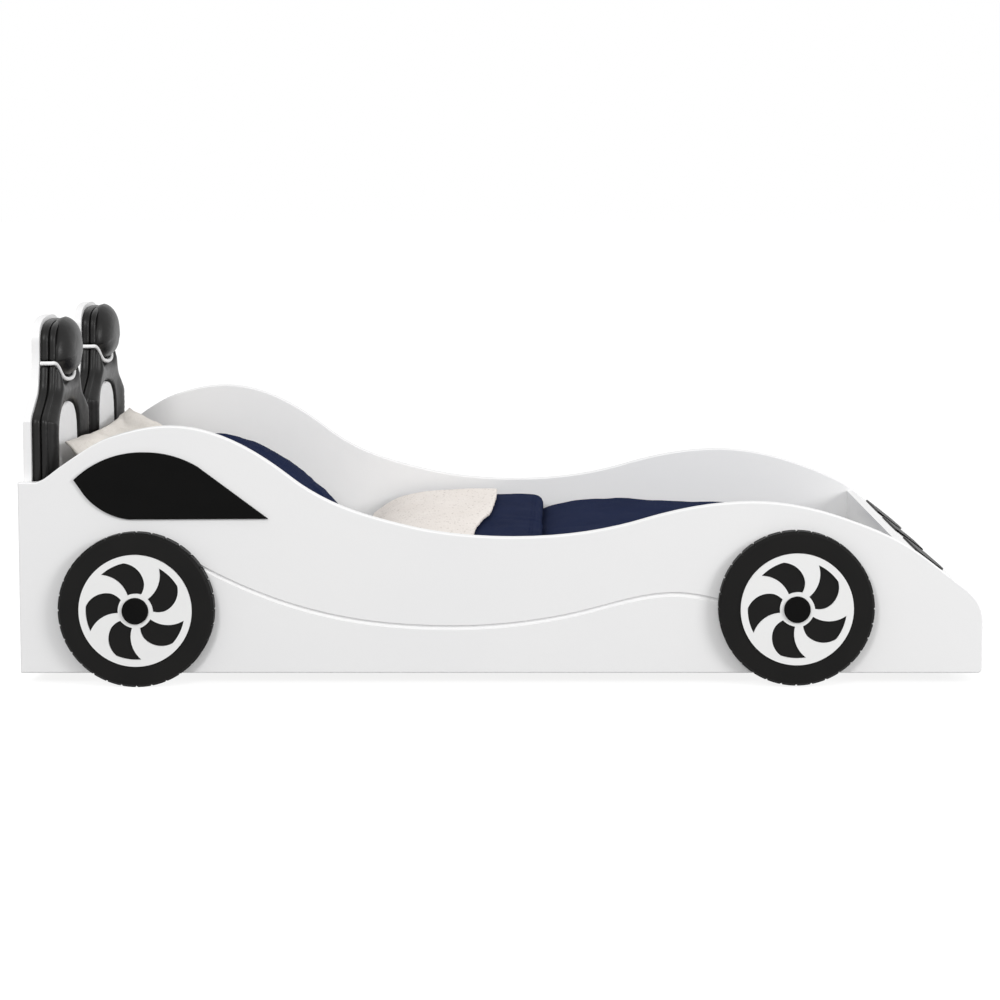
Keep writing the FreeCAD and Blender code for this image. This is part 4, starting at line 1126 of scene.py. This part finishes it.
def inflated(made, pressure, cap, stiff=12, bend=0.6):
    """Blow a stuffed cover up by cloth simulation, gravity off, no point moving more than the cap."""
    before = spots_of(made.data)
    cloth = made.modifiers.new("cloth", "CLOTH")
    setting = cloth.settings
    setting.quality = 6
    setting.mass = 0.25
    setting.tension_stiffness = setting.compression_stiffness = stiff
    setting.shear_stiffness = stiff / 2
    setting.bending_stiffness = bend
    setting.use_pressure = True
    setting.uniform_pressure_force = pressure
    setting.effector_weights.gravity = 0
    cloth.collision_settings.use_collision = False
    cloth.point_cache.frame_start, cloth.point_cache.frame_end = 1, CLOTH_FRAMES
    scene = bpy.context.scene
    for step in range(1, CLOTH_FRAMES + 1):
        scene.frame_set(step)
    graph = bpy.context.evaluated_depsgraph_get()
    after = bpy.data.meshes.new_from_object(made.evaluated_get(graph))
    moved = spots_of(after) - before
    bpy.data.meshes.remove(after)
    made.modifiers.remove(cloth)
    scene.frame_set(1)
    size = np.linalg.norm(moved, axis=1)
    moved *= np.minimum(1, cap / np.maximum(size, 1e-9))[:, None]
    put(made, before + moved)


def finer(made):
    """One smooth subdivision after any other modifiers, all made part of the mesh."""
    smooth = made.modifiers.new("finer", "SUBSURF")
    smooth.levels = smooth.render_levels = 1
    graph = bpy.context.evaluated_depsgraph_get()
    mesh = bpy.data.meshes.new_from_object(made.evaluated_get(graph))
    made.modifiers.clear()
    made.data = mesh
    mesh.name = made.name
    mesh.polygons.foreach_set("use_smooth", [True] * len(mesh.polygons))


COVER_STEP = 0.011
LAYER_APART = 0.0012
DRAW_IN = 0.045
SHOULDER_RUN = 0.22


def squared(made, grid, depth, length):
    """Bring a blown-up cover back to its cut size, its sides drawn in a little between the corners."""
    spots = spots_of(made.data)
    whole = spots[grid]
    steps = [np.linspace(-1, 1, size) for size in whole.shape[1:3]]
    for axis, size, share in ((0, depth, steps[1][None, :]), (1, length, steps[0][:, None])):
        ends = (whole[0, :1], whole[0, -1:]) if axis == 0 else (whole[0, :, :1], whole[0, :, -1:])
        first, last = (end[:, :, axis] for end in ends)
        wanted = (1 - DRAW_IN * (1 - share ** 2)) * size / 2
        centred = whole[:, :, :, axis] - (first + last) / 2
        whole[:, :, :, axis] = centred * wanted / ((last - first) / 2)
    spots[grid.ravel()] = whole.reshape(-1, 3)
    put(made, spots)


def cushion_cover(name, length, depth, thick, flange, finish):
    """Two layers of cloth sewn together at their edge, lens-shaped inside a flat flange.

    The grid that comes with the piece says which point lies in which row and column of each layer.
    """
    across_count, along_count = round(depth / COVER_STEP), round(length / COVER_STEP)
    shoulder = depth * SHOULDER_RUN
    points, chart, faces = [], [], []
    layer = {}
    for side in (1, -1):
        for i in range(across_count + 1):
            for j in range(along_count + 1):
                u, v = i / across_count * 2 - 1, j / along_count * 2 - 1
                rim = i in (0, across_count) or j in (0, along_count)
                if rim and side < 0:
                    layer[side, i, j] = layer[1, i, j]
                    continue
                layer[side, i, j] = len(points)
                draw_u, draw_v = 1 - DRAW_IN * (1 - v * v), 1 - DRAW_IN * (1 - u * u)
                inner_u = max(0.0, (1 - abs(u)) * depth / 2 - flange)
                inner_v = max(0.0, (1 - abs(v)) * length / 2 - flange)
                bulge = min(1, inner_u / shoulder) * min(1, inner_v / shoulder)
                bulge = math.sqrt(max(0.0, 1 - (1 - bulge) ** 2)) * thick / 2
                rise = side * (bulge + (0 if rim else LAYER_APART))
                points.append((u * draw_u * depth / 2, v * draw_v * length / 2, rise))
                chart.append((u * depth / 2 + 0.004 * side, v * length / 2 + side))
    for side in (1, -1):
        for i in range(across_count):
            for j in range(along_count):
                quad = [layer[side, a, b] for a, b in ((i, j), (i + 1, j), (i + 1, j + 1), (i, j + 1))]
                faces.append(quad if side > 0 else quad[::-1])
    grid = np.array([[[layer[side, i, j] for j in range(along_count + 1)]
                      for i in range(across_count + 1)] for side in (1, -1)])
    return piece(name, points, faces, finish, chart, tidy=False), grid


SWELL_CAP = 0.6
EDGE_RUN = 0.03
FLANGE_RUN = 0.02
BROAD_FOLD = 0.006
NARROW_FOLD = 0.0028
CREASE_RISE = 0.011
CRINKLE = 0.0022
RUFFLE = 0.013
SAG_FROM = 0.02
SAG_RUN = 0.21


def pillow(name, size, fill, flange, tilt, sag, crumple, finish, seed, pressure):
    """A stuffed pillow: blown up by simulation, creased, its upper part sagging, laid back at its tilt."""
    length, depth, thick = size
    made, grid = cushion_cover(name, length, depth, thick * fill, flange, finish)
    inflated(made, pressure, thick * SWELL_CAP)
    squared(made, grid, depth, length)
    finer(made)
    spots = spots_of(made.data)
    flat = spots[:, :2] / MM
    fold = wavering(flat, 120, seed) * BROAD_FOLD + wavering(flat * (1, 0.4), 34, seed + 2) * NARROW_FOLD
    ridge = np.clip(1 - 4.5 * np.abs(wavering(flat * (1, 0.55), 85, seed + 6, 1)), 0, 1)
    fold += crumple * (ridge ** 1.5 * CREASE_RISE + wavering(flat, 19, seed + 8, 1) * CRINKLE)
    edge = np.minimum(depth / 2 - np.abs(spots[:, 0]), length / 2 - np.abs(spots[:, 1]))
    loose = np.clip(1 - edge / (flange + FLANGE_RUN if flange else EDGE_RUN), 0, 1)
    ruffle = wavering(flat, 46, seed + 4, 1) * RUFFLE * loose * (1 if flange else 0.25)
    spots[:, 2] += fold * np.sign(spots[:, 2]) * (1 - loose) + ruffle
    spots[:, 2] *= thick / max(1e-6, np.ptp(spots[:, 2]))
    spots[:, 2] -= sag * np.clip((-spots[:, 0] - SAG_FROM) / SAG_RUN, 0, 1) ** 2
    turn = np.array(Matrix.Rotation(math.radians(tilt), 3, "Y"))
    return made, spots @ turn.T


NAP = 0.0006
BACK_GAP = 0.006


def eased(value, limit, soft):
    """Keep a value over a limit, giving way over a soft depth instead of stopping dead."""
    under = np.maximum(0, limit + soft - value)
    return np.where(value < limit + soft, limit + soft * np.exp(-under / soft), value)


# each pillow: how it is made (length, depth and thickness in metres, share filled before it is blown up,
# flange, tilt in degrees, sag, creases, seed and pressure), its slot, and how it lies (how far it sinks
# into the mattress, how far its left end stands forward, and whether it presses on the seats)
PILLOWS = {
    "linen_pillow": (dict(size=(0.742, 0.452, 0.105), fill=0.8, flange=0.034, tilt=46, sag=0.0, crumple=1.0,
                          seed=11, pressure=5.0), "linen", 0.018, 0.02, True),
    "navy_pillow": (dict(size=(0.70, 0.465, 0.155), fill=0.85, flange=0.0, tilt=33, sag=0.036, crumple=0.3,
                         seed=23, pressure=6.0), "navy_cotton", 0.014, 0.0, False),
}


def pillows():
    """The linen pillow leans on the seats, the navy one against it; both stand on the mattress."""
    low = MATTRESS_TOP * MM + NAP
    for name, (making, slot, sink, askew, pressed) in PILLOWS.items():
        made, spots = pillow(f"{name}_cover", finish=finishes[slot], **making)
        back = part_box(name)[0].x
        spots = spots + np.array([back + BACK_GAP - spots[:, 0].min(), 0, low - sink - spots[:, 2].min()])
        spots[:, 0] += askew * (spots[:, 1] / making["size"][0] + 0.5)
        spots[:, 2] = eased(spots[:, 2], low, 0.010)
        if pressed:
            spots[:, 0] = eased(spots[:, 0], back + NAP, 0.006)
        put(made, spots)
        stand_for(made, slot, name)


# ---------------------------------------------------------------- quilt and throw, in millimetres
QUILT_HEM = 106
QUILT_HALF = 440
QUILT_LOW = 245.6
QUILT_ROUND = 34
# shares of the quilt's thickness that are left at its two sides, and where it closes to its middle
SIDE_THICK = 0.30
CLOSE_FROM = 0.45
TIP_THICK = 0.04
HEM_SKEW = 0.022
HEM_STITCHES = (20, 27)
STITCH_FROM = 0.3
# the quilt's top from its foot over its single spread, the hem of the fold and the fold, to its head
QUILT_SECTION = ((867, 251), (858, 262), (836, 272), (800, 280), (730, 286.5), (640, 290), (500, 294),
                 (400, 298.5), (330, 301.5), (270, 302.5), (215, 300), (170, 294), (135, 285), (113, 277),
                 (102, 271.5), (96, 268), (93, 269.5), (98, 275), (105, 283), (107, 293), (102.5, 303),
                 (93, 310), (78, 313.2), (50, 314.2), (-40, 314), (-120, 314), (-185, 311.5), (-235, 304),
                 (-276, 293.5), (-307, 280), (-328, 265), (-335, 255), (-330, 248.5), (-318, 246))


def quilt_section():
    """The quilt's outline from one side: its top, then its flat underside back to the foot."""
    top = smooth_line([(x * MM, 0, z * MM) for x, z in QUILT_SECTION], 0.011)[:, ::2] / MM
    return np.vstack([top, [(x, QUILT_LOW) for x in np.arange(-300, 862, 24.0)]])


def navy_quilt():
    """A stuffed quilt swept from side to side, its ends closed and its edges rounded."""
    section = quilt_section()
    count = len(section)
    travel = travelled(section)
    middle = QUILT_LOW + 12
    rows = list(np.linspace(-QUILT_HALF, QUILT_HALF, 80))
    rows = sorted(set(rows + [side * (QUILT_HALF - d) for d in (1.0, 3, 6, 16) for side in (1, -1)]))
    points, chart, faces = [], [], []
    for y in rows:
        short = min(1.0, (QUILT_HALF - abs(y)) / QUILT_ROUND)
        share = math.sqrt(max(0.0, 1 - (1 - short) ** 2))
        for (x, z), run in zip(section, travel):
            rise = QUILT_LOW + (z - QUILT_LOW) * (SIDE_THICK + (1 - SIDE_THICK) * share)
            if share < CLOSE_FROM:
                rise = middle + (rise - middle) * (TIP_THICK + (1 - TIP_THICK) * min(1, 2.2 * share))
            draw = 1.5 * math.sin(y / 61 + 1) + 2 * math.sin(y / 143)
            draw += HEM_SKEW * (QUILT_HALF - y) * math.exp(-((x - QUILT_HEM) / 45) ** 2)
            points.append([x - draw * (x > -320) * (z > QUILT_LOW + 4), y, rise])
            chart.append((run * MM, y * MM))
    for k in range(len(rows) - 1):
        for i in range(count):
            j = (i + 1) % count
            faces.append((k * count + i, (k + 1) * count + i, (k + 1) * count + j, k * count + j))
    spots = np.array(points)
    lifted = np.clip((spots[:, 2] - QUILT_LOW) / 20, 0, 1)
    flat = spots[:, :2] * np.array([1, 0.62])
    swell = wavering(flat, 170, 31) * 3 + wavering(flat, 66, 37) * 1.9 + wavering(flat, 26, 41, 1) * 0.5
    spots[:, 2] += lifted * (swell - 1.2)
    caps = [tuple(range(count)), tuple(reversed([(len(rows) - 1) * count + i for i in range(count)]))]
    made = piece("navy_quilt_cover", spots * MM, faces + caps, finishes["navy_cotton"], chart)
    inflated(made, 1.2, 0.005, 20, 2.0)
    spots = spots_of(made.data)
    spots[:, 2] = np.maximum(spots[:, 2], QUILT_LOW * MM)
    put(made, spots)
    stand_for(made, "navy_cotton", "navy_quilt")
    rows = [[((QUILT_HEM - setback - HEM_SKEW * (QUILT_HALF - y)) * MM, y * MM, STITCH_FROM)
             for y in range(-405, 406, 15)] for setback in HEM_STITCHES]
    stitched("quilt_stitches", made, rows, "navy_cotton", pitch=0.006, length=0.0042, thickness=0.0012)
    return made


THROW_HALF = 430
THROW_THICK = 0.009
THROW_SPOTS = 48
# where the front edge lies, across the bed
THROW_FRONT = ((-430, -70), (-340, -68), (-210, -64), (-90, -50), (0, -33), (110, -27), (280, -21),
               (430, -21))
# the line over the fold, from the hidden edge up
THROW_RISE = [(-357, 252), (-352, 256), (-342, 264), (-322, 278), (-290, 296.5), (-255, 308), (-186, 321),
              (-120, 325)]


def beige_throw(quilt):
    """A knitted throw over the fold: one edge hangs down the fold's end, the other runs askew on top."""
    rows = np.linspace(-THROW_HALF, THROW_HALF, 108)
    fronts = np.interp(rows, *zip(*THROW_FRONT))
    points, chart = [], []
    for y, front in zip(rows, fronts):
        front += 2.5 * noise.noise(Vector((y / 23, 4, 1)))
        bend = THROW_RISE + [(front - 14, 327.5), (front, 328)]
        line = smooth_line([(x * MM, 0, z * MM) for x, z in bend], 0.02)
        marks = travelled(line)
        places = np.linspace(0, marks[-1], THROW_SPOTS)
        even = np.stack([np.interp(places, marks, line[:, axis]) for axis in (0, 2)], 1)
        for (x, z), run in zip(even, places):
            points.append([x, y * MM, z])
            chart.append((run, y * MM))
    corners = [k * THROW_SPOTS + i for k in range(len(rows) - 1) for i in range(THROW_SPOTS - 1)]
    faces = [(at, at + 1, at + THROW_SPOTS + 1, at + THROW_SPOTS) for at in corners]
    spots = np.array(points)
    flat = spots[:, :2] / MM
    lie = wavering(flat, 120, 51) * 2.6 + wavering(flat, 44, 53) * 1.1
    spots[:, 2] += lie * MM * np.clip((spots[:, 2] - 0.26) / 0.03, 0, 1)
    made = piece("beige_throw_cloth", spots, faces, finishes["beige_knit"], chart)
    over_quilt(made, quilt, THROW_THICK / 2 + 0.003)
    wall = made.modifiers.new("thickness", "SOLIDIFY")
    wall.thickness = THROW_THICK
    wall.offset = 0
    finer(made)
    stand_for(made, "beige_knit", "beige_throw")


def over_quilt(made, quilt, gap):
    """Lay a cloth on the quilt: every point keeps at least a gap, and the top settles down to it."""
    graph = bpy.context.evaluated_depsgraph_get()
    tree = BVHTree.FromObject(quilt, graph)
    for vertex in made.data.vertices:
        near, normal, _, _ = tree.find_nearest(vertex.co)
        side = (vertex.co - near).dot(normal)
        settled = np.interp(vertex.co.x, (-0.34, -0.22), (0, 0.65)) if side > gap else 1
        vertex.co += normal * (gap - side) * settled


mattress()
pillows()
beige_throw(navy_quilt())
